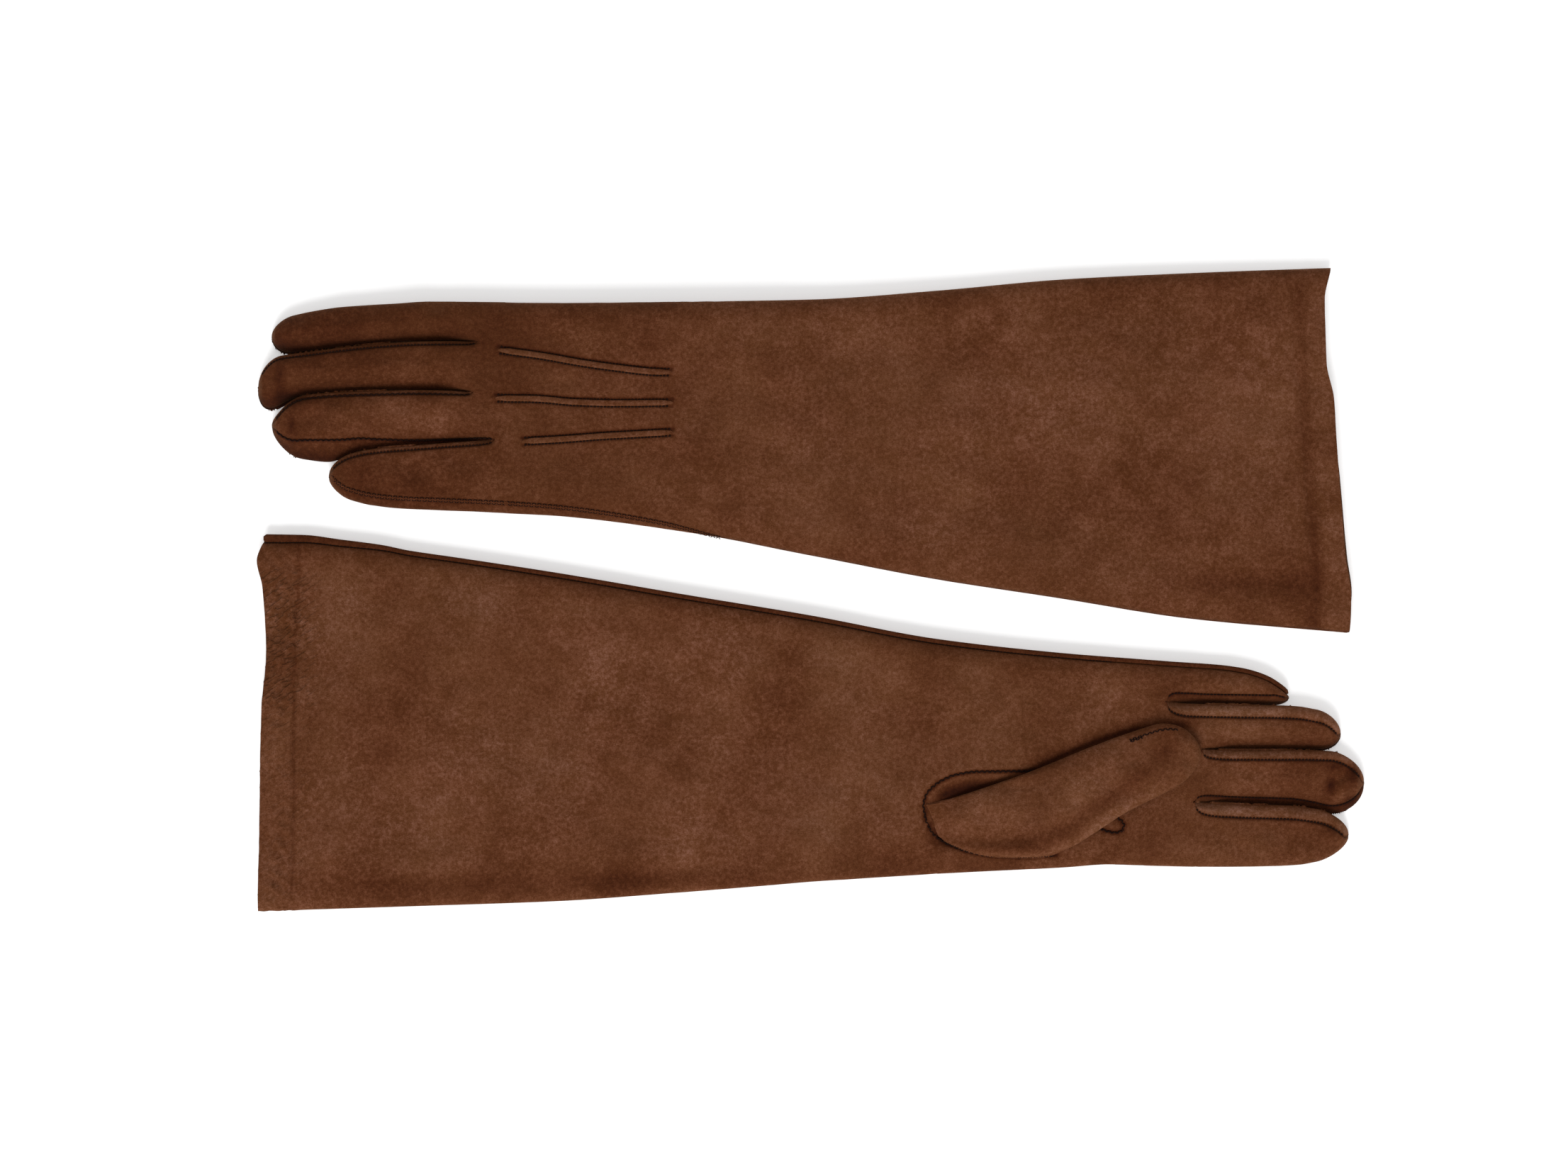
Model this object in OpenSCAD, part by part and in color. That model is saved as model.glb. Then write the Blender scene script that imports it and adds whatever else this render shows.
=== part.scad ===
// A pair of elbow-length leather gloves, laid flat head to tail.
// The right glove lies palm up with its thumb folded over the palm.
// The left glove lies back up, the other way round, with its thumb folded under the palm.
// Each glove is drawn with its fingers towards +X, its folded index side towards -Y
// and its outer seam towards +Y; the left glove is then turned half round.
// Origin: middle of the pair on the surface it lies on, +Z up.

/* [Leather] */
// Thickness of the leather
leather = 0.8; // [0.6:0.1:1.0]
// Height of a flattened sleeve, hand or finger over both layers
tube_h = 9; // [8:0.5:12]
// Width of the hem turned in at the mouth
hem_w = 11; // [6:1:16]
// Clearance between pieces that move against each other
gap = 0.3; // [0.2:0.1:0.5]

/* [Sleeve] */
// Length from the wrist line to the hem
arm_l = 246; // [180:1:320]
// Width at the hem
mouth_w = 147; // [120:1:180]
// Width at the wrist line
wrist_w = 96; // [88:1:112]
// Place of the wrist line along X
wrist_x = 30; // [20:1:36]

/* [Hand] */
// Length from the wrist line to the knuckle of the index finger
hand_l = 124; // [118:1:150]
// How far the knuckle of the middle finger lies beyond that of the index finger
middle_step = 1; // [-2:0.5:4]
// How far the knuckle of the little finger lies behind that of the index finger
little_step = 11; // [6:0.5:16]
// Space between neighbouring fingers
crotch_gap = 1.6; // [1.2:0.1:2.4]
// Depth of the crotches on the palm
palm_crotch = 3; // [2:0.5:6]
// Depth of the slits between the fingers on the back
back_slit = 22; // [12:1:30]
// Distance from the folded side of the pair's outline to the middle of the pair at the hem
hem_fold_y = 127; // [115:1:150]
// The same at the wrist line
wrist_fold_y = 113.5; // [105:0.5:140]

/* [Fingers] */
// Length of the index finger beyond its knuckle
index_l = 58.5; // [45:0.5:75]
// Length of the middle finger beyond its knuckle
middle_l = 63; // [50:0.5:80]
// Length of the ring finger beyond its knuckle
ring_l = 57; // [45:0.5:75]
// Length of the little finger beyond its knuckle
little_l = 46; // [36:0.5:60]
// Right glove: flattened widths of index, middle, ring and little finger at the knuckle
right_root_w = [24.2, 19.4, 16.2, 16.6]; // [12:0.1:30]
// Right glove: the same widths at the tip
right_tip_w = [21, 18, 15, 14]; // [10:0.1:26]
// Right glove: how far each finger leans towards +Y from knuckle to tip
right_lean = [-0.5, -2, -1.7, -2]; // [-4:0.1:4]
// Right glove: distance from the folded side at the knuckles to the middle of the pair
right_knuckle_y = 109; // [100:0.5:135]
// Left glove: flattened widths of index, middle, ring and little finger at the knuckle
left_root_w = [15.6, 17.1, 18.7, 25.3]; // [12:0.1:30]
// Left glove: the same widths at the tip
left_tip_w = [14, 16, 17, 17]; // [10:0.1:26]
// Left glove: how far each finger leans towards +Y from knuckle to tip
left_lean = [4.3, 5.8, 6.2, 0.5]; // [-4:0.1:8]
// Left glove: distance from the folded side at the knuckles to the middle of the pair
left_knuckle_y = 113.5; // [100:0.5:135]

/* [Thumbs] */
// Length of the thumb hole in the palm
hole_l = 76; // [60:1:84]
// Width of the thumb hole
hole_w = 26; // [20:0.5:28]
// Distance from the wrist line to the near end of the thumb hole
hole_x = 16; // [12:1:24]
// Distance from the folded side to the middle line of the thumb hole
hole_in = 22; // [18:0.5:30]
// Length of the thumb from the middle of its root to its tip
thumb_l = 87.5; // [70:0.5:92]
// Width of the thumb at its tip
thumb_tip_w = 22; // [18:0.5:26]
// Angle between the thumb and the sleeve's length
thumb_turn = 21; // [15:1:30]
// Height of the right thumb, which lies open on the palm
thumb_h = 8; // [6:0.5:12]
// Height of the left thumb, pressed flat under the palm
flat_thumb_h = 2.8; // [2.4:0.1:3]
// How high the left hand is held up by the thumb under it
lift = 3.5; // [3.4:0.1:6]

/* [Stitching] */
// Width of each raised tuck on the back
tuck_w = 2.6; // [2:0.1:4]
// Height of each raised tuck
tuck_h = 0.8; // [0.5:0.1:1.2]
// Length of the tucks
tuck_l = 64; // [50:1:74]
// Width of a line of thread
thread_w = 0.5; // [0.4:0.1:0.8]
// Height of a line of thread
thread_h = 0.3; // [0.2:0.05:0.3]

/* [Hidden] */
GLOVE_PARTS = ["arm_back", "arm_palm", "arm_outseam", "hem_facing", "arm_seam_thread",
    "hand_back", "hand_palm", "hand_outseam", "back_tucks", "tuck_thread", "thumb_hole_thread",
    "index_back", "index_palm", "index_fourchette",
    "middle_back", "middle_palm", "middle_index_fourchette", "middle_ring_fourchette",
    "ring_back", "ring_palm", "ring_middle_fourchette", "ring_little_fourchette",
    "little_back", "little_palm", "little_fourchette",
    "thumb_top", "thumb_under", "thumb_side"];

// The tucks stop short of the slits, lean by this much each, and end a little to one side
TUCK_MARGIN = 9;
TUCK_SPREAD = [5, 0, -4];
TUCK_SHIFT = 3;
TUCK_SAG = 0.01;
// Half of the angle that a fingertip's round end takes up
TIP_ANGLE = 86;
// The thumb's root lies this far past the near end of its hole
THUMB_ROOT = 11;
// Half of a finger is cut out with a plane figure wider than any finger
PAST_FINGER = 30;

leather_colour = [0.45, 0.26, 0.16];
inside_colour = [0.58, 0.40, 0.28];
thread_colour = [0.30, 0.15, 0.08];

CURVE_STEPS = 10;
ARC_STEPS = 16;
FINGERS = [0, 1, 2, 3];
INDEX = 0; MIDDLE = 1; RING = 2; LITTLE = 3;
hem_x = wrist_x - arm_l;
knuckle_x = [wrist_x + hand_l, wrist_x + hand_l + middle_step,
    wrist_x + hand_l, wrist_x + hand_l - little_step];
finger_l = [index_l, middle_l, ring_l, little_l];
// A glove's facts: flattened widths at the knuckles and tips, lean, folded side, palm up, lift
RIGHT = [right_root_w, right_tip_w, right_lean, -right_knuckle_y, true, 0];
LEFT = [left_root_w, left_tip_w, left_lean, -left_knuckle_y, false, lift];

function sum_to(v, n) = n == 0 ? 0 : v[n - 1] + sum_to(v, n - 1);
function palm_w(g) = sum_to(g[0], 4) + 3 * crotch_gap;
function palm_up(g) = g[4];
function lift_of(g) = g[5];
// The right hand stands on its tucks, which lie under the back of the hand
function floor_z(g) = palm_up(g) ? tuck_h : 0;
// Middle of finger i across the hand at the knuckle, counted from the folded side
function root_y(g, i) = g[3] + sum_to(g[0], i) + i * crotch_gap + g[0][i] / 2;

// Cubic from p to q that starts and ends with the slopes sp and sq
function blend_at(p, q, sp, sq, t) =
    let (l = q[0] - p[0], a = 2 * t ^ 3 - 3 * t ^ 2 + 1, b = t ^ 3 - 2 * t ^ 2 + t,
        c = 3 * t ^ 2 - 2 * t ^ 3, d = t ^ 3 - t ^ 2)
    [p[0] + l * t, a * p[1] + b * l * sp + c * q[1] + d * l * sq];
function curve(p, q, sp, sq) =
    [for (k = [0:CURVE_STEPS]) blend_at(p, q, sp, sq, k / CURVE_STEPS)];
function reversed(v) = [for (k = [len(v) - 1:-1:0]) v[k]];
function raised(v, dy) = [for (p = v) p + [0, dy]];
function arc(c, r, from, to) =
    [for (k = [0:ARC_STEPS]) let (a = from + (to - from) * k / ARC_STEPS) c + r * [cos(a), sin(a)]];

// The folded side and the outer seam of the sleeve, from the hem to the wrist line
function arm_fold(g) = curve([hem_x, -hem_fold_y], [wrist_x, -wrist_fold_y], 0.03, 0.045);
function arm_seam(g) =
    curve([hem_x, mouth_w - hem_fold_y], [wrist_x, wrist_w - wrist_fold_y], -0.11, -0.185);
// The same two sides of the hand, from the wrist line to the knuckles
function hand_fold(g) =
    curve([wrist_x + gap, -wrist_fold_y], [knuckle_x[INDEX] - gap, g[3]], 0.045, 0);
function hand_seam(g) =
    curve([wrist_x + gap, wrist_w - wrist_fold_y], [knuckle_x[LITTLE] - gap, g[3] + palm_w(g)],
        -0.185, -0.04);

// End of the hand at the knuckles, with a crotch of the given depth between the fingers
function knuckle_edge(g, depth) = [for (i = FINGERS) each
    let (low = root_y(g, i) - g[0][i] / 2, high = root_y(g, i) + g[0][i] / 2, x = knuckle_x[i] - gap)
    [if (i > 0) [x, low], if (i < LITTLE) [x, high],
        if (i < LITTLE) [min(knuckle_x[i], knuckle_x[i + 1]) - depth, high + crotch_gap / 2]]];

module slab(z0, z1) translate([0, 0, z0]) linear_extrude(z1 - z0) children();
// The two layers of leather and the space between them, for a tube standing on floor level z
module lower_layer(z = 0) slab(z, z + leather) children();
module upper_layer() slab(tube_h - leather, tube_h) children();
module between(z = 0) slab(z + leather, tube_h - leather) children();
module strip(edge, w) polygon(concat(edge, reversed(raised(edge, w))));

// A line of width w along the points of v
function normal_at(v, k) =
    let (a = v[max(k - 1, 0)], b = v[min(k + 1, len(v) - 1)], d = (b - a) / norm(b - a)) [-d[1], d[0]];
function beside(v, s) = [for (k = [0:len(v) - 1]) v[k] + s * normal_at(v, k)];
module ribbon(v, w, s = 0) polygon(concat(beside(v, s - w / 2), reversed(beside(v, s + w / 2))));

// ---- sleeve ----
module arm_plan(g) polygon(concat(arm_fold(g), reversed(arm_seam(g))));
module arm_inside(g, end) polygon(concat(raised(curve_to(arm_fold(g), end), leather),
    reversed(raised(curve_to(arm_seam(g), end), -leather))));
// The first points of an edge, up to x = end, closed with a point on that line
function curve_to(v, end) = concat([for (p = v) if (p[0] < end) p], [point_at(v, end)]);
function point_at(v, x, k = 0) = v[k + 1][0] >= x
    ? v[k] + (v[k + 1] - v[k]) * (x - v[k][0]) / (v[k + 1][0] - v[k][0])
    : point_at(v, x, k + 1);

module arm_layer(g, palm_side) if (palm_side == palm_up(g)) upper_layer() arm_plan(g);
    else lower_layer() arm_plan(g);
module arm_back(g) color(leather_colour) {
    arm_layer(g, false);
    between() strip(arm_fold(g), leather);
}
module arm_palm(g) color(leather_colour) arm_layer(g, true);
module arm_outseam(g) color(leather_colour) between() strip(arm_seam(g), -leather);
module hem_facing(g) color(inside_colour) {
    slab(leather, 2 * leather) arm_inside(g, hem_x + hem_w);
    slab(tube_h - 2 * leather, tube_h - leather) arm_inside(g, hem_x + hem_w);
}
module arm_seam_thread(g) color(thread_colour)
    slab((tube_h - thread_w) / 2, (tube_h + thread_w) / 2) strip(arm_seam(g), thread_h);

// ---- hand ----
module hand_plan(g, depth)
    polygon(concat(hand_fold(g), knuckle_edge(g, depth), reversed(hand_seam(g))));
module hand_layer(g, depth, palm_side) if (palm_side == palm_up(g)) upper_layer() hand_plan(g, depth);
    else lower_layer(floor_z(g)) hand_plan(g, depth);
module hand_back(g) color(leather_colour) {
    hand_layer(g, back_slit, false);
    between(floor_z(g)) strip(hand_fold(g), leather);
}
module hand_palm(g) color(leather_colour) difference() {
    hand_layer(g, palm_crotch, true);
    slab(-1, tube_h + 1) hole_plan(g);
}
module hand_outseam(g) color(leather_colour) between(floor_z(g)) strip(hand_seam(g), -leather);

// Three tucks run back from the slits between the fingers and spread a little
function tuck(g, i) =
    let (x = knuckle_x[INDEX] - back_slit - TUCK_MARGIN,
        y = root_y(g, i) + g[0][i] / 2 + crotch_gap / 2, spread = TUCK_SPREAD[i])
    curve([x - tuck_l, y + spread + TUCK_SHIFT], [x, y], -spread / tuck_l, TUCK_SAG * (i - 1));
module on_back(g, h) if (palm_up(g)) slab(floor_z(g) - h, floor_z(g)) children();
    else slab(tube_h, tube_h + h) children();
module back_tucks(g) color(leather_colour) on_back(g, tuck_h)
    for (i = [0:2]) ribbon(tuck(g, i), tuck_w);
module tuck_thread(g) color(thread_colour) on_back(g, thread_h)
    for (i = [0:2], s = [-1, 1]) ribbon(tuck(g, i), thread_w, s * (tuck_w / 2 + thread_w));

// ---- fingers ----
// Outline of finger i, drawn in by the leather's thickness for its inside
function finger_outline(g, i, inset = 0) =
    let (r = g[1][i] / 2 - inset, h = g[0][i] / 2 - inset, y = root_y(g, i),
        tip = [knuckle_x[i] + finger_l[i] - g[1][i] / 2, y + g[2][i]],
        a = atan2(g[2][i], tip[0] - knuckle_x[i]))
    concat([[knuckle_x[i], y - h]], arc(tip, r, a - TIP_ANGLE, a + TIP_ANGLE), [[knuckle_x[i], y + h]]);
// Half of a finger's plan, split along its middle line: side -1 towards the index finger
module finger_half(g, i, side) {
    root = [knuckle_x[i], root_y(g, i)];
    end = [knuckle_x[i] + finger_l[i] + 1, root[1] + g[2][i]];
    polygon([root - [1, 0], end, end + [0, side * PAST_FINGER], root + [-1, side * PAST_FINGER]]);
}
module finger_wall(g, i, side) intersection() {
    difference() {
        polygon(finger_outline(g, i));
        polygon(concat([finger_outline(g, i, leather)[0] - [1, 0]], finger_outline(g, i, leather),
            [[knuckle_x[i] - 1, root_y(g, i) + g[0][i] / 2 - leather]]));
    }
    finger_half(g, i, side);
}
module finger_layer(g, i, palm_side) if (palm_side == palm_up(g))
    upper_layer() polygon(finger_outline(g, i));
    else lower_layer() polygon(finger_outline(g, i));
// A finger drops from its knuckle until its tip lies on the surface
module finger_drop(g, i) translate([knuckle_x[i], 0, lift_of(g)])
    rotate([0, asin(lift_of(g) / finger_l[i]), 0]) translate([-knuckle_x[i], 0, 0]) children();
module finger_palm(g, i) color(leather_colour) finger_drop(g, i) finger_layer(g, i, true);
// The index finger's back turns over the folded side, the little finger's over the outer seam
module finger_back(g, i) color(leather_colour) finger_drop(g, i) {
    finger_layer(g, i, false);
    if (i == INDEX) between() finger_wall(g, i, -1);
    if (i == LITTLE) between() finger_wall(g, i, 1);
}
module fourchette(g, i, side) color(leather_colour) finger_drop(g, i) between() finger_wall(g, i, side);

// ---- thumb ----
hole_r = hole_w / 2;
hole_near = wrist_x + hole_x + hole_r;
hole_far = wrist_x + hole_x + hole_l - hole_r;
thumb_root_x = hole_near + THUMB_ROOT;
function hole_y(g) = -wrist_fold_y + hole_in;
function capsule(a, ra, b, rb) =
    let (d = b - a, t = atan2(d[1], d[0]), s = asin((ra - rb) / norm(d)))
    concat(arc(b, rb, t - 90 + s, t + 90 - s), arc(a, ra, t + 90 - s, t + 270 + s));
module hole_shape(g, inset) polygon(capsule([hole_near, hole_y(g)], hole_r - inset,
    [hole_far, hole_y(g)], hole_r - inset));
module hole_plan(g) hole_shape(g, leather);
function thumb_tip(g) = [thumb_root_x, hole_y(g)]
    + (thumb_l - thumb_tip_w / 2) * [cos(thumb_turn), sin(thumb_turn)];
module thumb_bar(g, inset) polygon(capsule([thumb_root_x, hole_y(g)], hole_r - inset,
    thumb_tip(g), thumb_tip_w / 2 - inset));
module thumb_plan(g, inset = 0) {
    thumb_bar(g, inset);
    hole_shape(g, inset);
}
function thumb_low(g) = palm_up(g) ? tube_h + gap : -lift_of(g);
function thumb_high(g) = thumb_low(g) + (palm_up(g) ? thumb_h : flat_thumb_h);
// The layer that lies against the palm is open over the thumb hole
module thumb_layer(g, z, open) slab(z, z + leather) difference() {
    thumb_plan(g);
    if (open) hole_plan(g);
}
module thumb_top(g) color(leather_colour)
    thumb_layer(g, thumb_high(g) - leather, !palm_up(g));
module thumb_under(g) color(leather_colour) thumb_layer(g, thumb_low(g), palm_up(g));
module thumb_side(g) color(leather_colour)
    slab(thumb_low(g) + leather, thumb_high(g) - leather) difference() {
        thumb_plan(g);
        thumb_plan(g, leather);
    }
// Thread round the thumb hole on the palm, left off where the thumb lies over it
module thumb_hole_thread(g) color(thread_colour) {
    z = palm_up(g) ? tube_h : -thread_h;
    slab(z, z + thread_h) difference() {
        hole_shape(g, -2 * thread_w);
        hole_shape(g, -thread_w);
        if (palm_up(g)) thumb_bar(g, -gap);
    }
}

// ---- one glove, one part at a time ----
// The left sleeve tips down from the raised wrist until its hem lies on the surface
module arm_part(g) translate([wrist_x, 0, lift_of(g)]) rotate([0, -asin(lift_of(g) / arm_l), 0])
    translate([-wrist_x, 0, 0]) children();
module raised_part(g) translate([0, 0, lift_of(g)]) children();
module glove_part(g, part) {
    if (part == "arm_back") arm_part(g) arm_back(g);
    if (part == "arm_palm") arm_part(g) arm_palm(g);
    if (part == "arm_outseam") arm_part(g) arm_outseam(g);
    if (part == "hem_facing") arm_part(g) hem_facing(g);
    if (part == "arm_seam_thread") arm_part(g) arm_seam_thread(g);
    if (part == "hand_back") raised_part(g) hand_back(g);
    if (part == "hand_palm") raised_part(g) hand_palm(g);
    if (part == "hand_outseam") raised_part(g) hand_outseam(g);
    if (part == "back_tucks") raised_part(g) back_tucks(g);
    if (part == "tuck_thread") raised_part(g) tuck_thread(g);
    if (part == "thumb_hole_thread") raised_part(g) thumb_hole_thread(g);
    if (part == "index_back") finger_back(g, INDEX);
    if (part == "index_palm") finger_palm(g, INDEX);
    if (part == "index_fourchette") fourchette(g, INDEX, 1);
    if (part == "middle_back") finger_back(g, MIDDLE);
    if (part == "middle_palm") finger_palm(g, MIDDLE);
    if (part == "middle_index_fourchette") fourchette(g, MIDDLE, -1);
    if (part == "middle_ring_fourchette") fourchette(g, MIDDLE, 1);
    if (part == "ring_back") finger_back(g, RING);
    if (part == "ring_palm") finger_palm(g, RING);
    if (part == "ring_middle_fourchette") fourchette(g, RING, -1);
    if (part == "ring_little_fourchette") fourchette(g, RING, 1);
    if (part == "little_back") finger_back(g, LITTLE);
    if (part == "little_palm") finger_palm(g, LITTLE);
    if (part == "little_fourchette") fourchette(g, LITTLE, -1);
    if (part == "thumb_top") raised_part(g) thumb_top(g);
    if (part == "thumb_under") raised_part(g) thumb_under(g);
    if (part == "thumb_side") raised_part(g) thumb_side(g);
}

for (part = GLOVE_PARTS) {
    rotate([0, 0, 180]) glove_part(LEFT, part);
    glove_part(RIGHT, part);
}
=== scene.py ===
"""A pair of long brown suede gloves lying head to tail on a white floor.

Each glove is worked out in its own frame, in millimetres: x runs from the hem to the fingertips, y
from the index side to the little-finger side, z is up. The right glove, palm up, has that frame as
its world frame; the left glove, back up, is turned half round about z. "a" is the index side of
anything and "b" its little-finger side.
"""

import logging
import math
from dataclasses import dataclass, field
from enum import Enum
from typing import Callable, Optional, Sequence, Union

import bpy
import numpy as np
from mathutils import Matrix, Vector


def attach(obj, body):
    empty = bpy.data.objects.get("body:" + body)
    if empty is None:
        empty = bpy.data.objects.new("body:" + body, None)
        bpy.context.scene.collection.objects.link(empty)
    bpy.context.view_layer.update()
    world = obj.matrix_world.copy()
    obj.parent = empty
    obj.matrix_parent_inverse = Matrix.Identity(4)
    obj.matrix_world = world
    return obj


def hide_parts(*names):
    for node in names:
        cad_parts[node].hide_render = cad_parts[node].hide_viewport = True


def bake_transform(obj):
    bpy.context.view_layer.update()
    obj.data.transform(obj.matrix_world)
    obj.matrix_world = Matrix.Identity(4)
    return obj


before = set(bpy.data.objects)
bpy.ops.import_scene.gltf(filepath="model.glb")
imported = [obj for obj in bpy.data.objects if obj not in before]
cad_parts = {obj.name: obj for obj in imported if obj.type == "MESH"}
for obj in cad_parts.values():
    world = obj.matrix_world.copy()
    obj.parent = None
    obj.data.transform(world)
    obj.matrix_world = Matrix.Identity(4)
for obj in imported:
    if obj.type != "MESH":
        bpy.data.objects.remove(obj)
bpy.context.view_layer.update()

LOG = logging.getLogger("gloves")
MM = 0.001

Array = np.ndarray
Number = Union[float, Array]
Places = Sequence[Sequence[tuple[float, float]]]

JOIN_X = 120.0  # where the hand's leather hands over to the fingers
HAND_X = 50.0  # where the sleeve's leather hands over to the hand
ACROSS, UPWARD = (0.0, 1.0, 0.0), (0.0, 0.0, 1.0)
WRIST_BEND = (8.0, 46.0)  # the leather that bends when a wrist does
LEATHER = 0.8  # how thick the leather is
TRANK_LEATHER = 0.95  # the sleeve's and hand's, which look plumper
FINGER_LEATHER = 0.7
FOURCHETTE_LEATHER = 0.6
MERGE = 0.02  # places nearer than this, as at a fingertip, become one
ROOM_STEPS = 12  # how finely the leather thins towards a fingertip
OUTER_ROW = 0.35  # how far beside the right outseam its stitches are
DOUBLE_ROWS = (-0.5, 0.5)  # where the left outseam's two rows are, across it
DOUBLE_LIFT = 0.2
SHOWN_X = 34.0  # past here the left outseam is on the upper face


class Side(Enum):
    """Which glove, and the sign that turns its frame into the world's."""

    RIGHT = 1.0
    LEFT = -1.0

    @property
    def word(self) -> str:
        """The side's name, as piece and body names start."""
        return self.name.lower()


class Slot(Enum):
    """The record's material slots."""

    SUEDE = "suede"
    HEM = "turned_hem"
    THREAD = "sewing_thread"


# the CAD node of the strip on each finger's side
FOURCHETTES = {
    ("index", "b"): "index_fourchette",
    ("middle", "a"): "middle_index_fourchette",
    ("middle", "b"): "middle_ring_fourchette",
    ("ring", "a"): "ring_middle_fourchette",
    ("ring", "b"): "ring_little_fourchette",
    ("little", "a"): "little_fourchette",
}


# ---------------------------------------------------------------- curves and surfaces


def ramp(value: Number, start: float, end: float) -> Number:
    """A smooth rise from 0 at start to 1 at end."""
    t = np.clip((np.asarray(value, float) - start) / (end - start), 0.0, 1.0)
    return t * t * (3.0 - 2.0 * t)


def roundness(distance: Number, radius: float) -> Number:
    """How far an edge has rounded up: 0 on the edge, 1 from one radius inside it."""
    t = 1.0 - np.clip(np.asarray(distance, float) / radius, 0.0, 1.0)
    return np.sqrt(1.0 - t * t)


def lerp(a: Number, b: Number, share: Number) -> Number:
    """The value a share of the way from a to b."""
    return a + (b - a) * share


def bell(distance: Number, width: Number) -> Number:
    """1 at distance 0, falling to almost nothing at twice the width."""
    return np.exp(-((distance / width) ** 2))


def snub(along: Number, length: float, power: float = 2.0) -> Array:
    """How full a rounded end is: 1 from its length before it, falling to 0 at the end, along = 0."""
    t = np.clip(along / length + 1.0, 0.0, 1.0)
    return np.sqrt(np.maximum(0.0, 1.0 - t**power))


def unit(vectors: Array) -> Array:
    """The same vectors, each 1 long."""
    return vectors / np.maximum(np.linalg.norm(vectors, axis=-1, keepdims=True), 1e-12)


def run_along(points: Array) -> Array:
    """How far along its line each place is, for one line or for each row of a surface."""
    step = np.linalg.norm(np.diff(points, axis=-2), axis=-1)
    return np.concatenate([np.zeros((*step.shape[:-1], 1)), np.cumsum(step, axis=-1)], axis=-1)


class Trace:
    """A smooth line through places along a glove: y, or any other size, as a function of x."""

    def __init__(self, *places: tuple[float, float]) -> None:
        """Keeps the places in order of x and works out a slope at each, without overshoot."""
        ordered = np.array(sorted(places), float)
        self.x, self.y = ordered[:, 0], ordered[:, 1]
        rise = np.diff(self.y) / np.diff(self.x)
        slope = np.empty(len(self.x))
        slope[0], slope[-1] = rise[0], rise[-1]
        for i in range(1, len(rise)):
            same = rise[i - 1] * rise[i] > 0
            slope[i] = 2 * rise[i - 1] * rise[i] / (rise[i - 1] + rise[i]) if same else 0.0
        self.slope = slope

    def __call__(self, x: Number) -> Array:
        """The line's value at x, carried on straight past its ends."""
        x = np.asarray(x, float)
        i = np.clip(np.searchsorted(self.x, x) - 1, 0, len(self.x) - 2)
        width = self.x[i + 1] - self.x[i]
        t = (x - self.x[i]) / width
        inside = np.clip(t, 0.0, 1.0)
        t2, t3 = inside**2, inside**3
        value = (
            (2 * t3 - 3 * t2 + 1) * self.y[i]
            + (t3 - 2 * t2 + inside) * width * self.slope[i]
            + (3 * t2 - 2 * t3) * self.y[i + 1]
            + (t3 - t2) * width * self.slope[i + 1]
        )
        value = value + np.where(t < 0, (x - self.x[0]) * self.slope[0], 0.0)
        return value + np.where(t > 1, (x - self.x[-1]) * self.slope[-1], 0.0)


class Swell:
    """A gentle, seeded unevenness over a surface, about 1 high either way."""

    def __init__(
        self, seed: int, shortest: float, longest: float, lean: Optional[float] = None, count: int = 16
    ) -> None:
        """Draws the waves.

        Args:
            seed: The draw, so that each run gives the same leather.
            shortest: The shortest wave, in mm.
            longest: The longest wave, in mm.
            lean: The way that the waves run, in radians, or None for all ways.
            count: How many waves are added together.
        """
        rng = np.random.default_rng(seed)
        length = rng.uniform(shortest, longest, count)
        angle = rng.uniform(0, math.tau, count)
        if lean is not None:
            angle = lean + rng.normal(0, 0.35, count)
        self.kx = math.tau / length * np.cos(angle)
        self.ky = math.tau / length * np.sin(angle)
        self.phase = rng.uniform(0, math.tau, count)
        self.scale = 1.0 / math.sqrt(count / 2.0)

    def __call__(self, x: Number, y: Number) -> Array:
        """The unevenness at a place or at many."""
        x, y = np.broadcast_arrays(np.asarray(x, float), np.asarray(y, float))
        total = np.zeros(x.shape)
        for kx, ky, phase in zip(self.kx, self.ky, self.phase):
            total += np.cos(kx * x + ky * y + phase)
        return total * self.scale


@dataclass(frozen=True)
class Fold:
    """A soft fold in the leather between two places, a ridge or a dip."""

    start: tuple[float, float]
    end: tuple[float, float]
    width: float
    height: float

    def lift(self, x: Array, y: Array) -> Array:
        """How much the fold lifts the leather at each place."""
        ax, ay = self.start
        dx, dy = self.end[0] - ax, self.end[1] - ay
        length = math.hypot(dx, dy)
        along = ((x - ax) * dx + (y - ay) * dy) / length
        across = ((y - ay) * dx - (x - ax) * dy) / length
        past = np.maximum(0.0, np.maximum(-along, along - length))
        fade = bell(past, 0.35 * length + self.width)
        ends = 0.35 + 0.65 * np.sin(np.clip(along / length, 0.0, 1.0) * math.pi)
        return self.height * fade * ends * bell(across, self.width)


@dataclass(frozen=True)
class Line:
    """A sewn line: its places, and how wide, deep and dark it is pressed into the upper face; the
    darkness is partly the seam's own and partly painted shade.
    """

    places: tuple[tuple[float, float], ...]
    width: float
    depth: float
    dark: float

    REACH = 4.0

    def near(self, x: Array, y: Array) -> Array:
        """How near each place is to the line: 1 on it, falling to 0."""
        rough = np.array(self.places, float)
        x, y = np.broadcast_arrays(np.asarray(x, float), np.asarray(y, float))
        out = np.zeros(x.shape)
        low, high = rough.min(axis=0) - self.REACH, rough.max(axis=0) + self.REACH
        close = (x > low[0]) & (x < high[0]) & (y > low[1]) & (y < high[1])
        if not close.any():
            return out
        px, py = x[close], y[close]
        best = np.full(px.shape, 1e9)
        for (ax, ay), (bx, by) in zip(rough[:-1], rough[1:]):
            dx, dy = bx - ax, by - ay
            t = np.clip(((px - ax) * dx + (py - ay) * dy) / (dx * dx + dy * dy), 0.0, 1.0)
            best = np.minimum(best, np.hypot(px - ax - t * dx, py - ay - t * dy))
        out[close] = bell(best, self.width)
        return out


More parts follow.
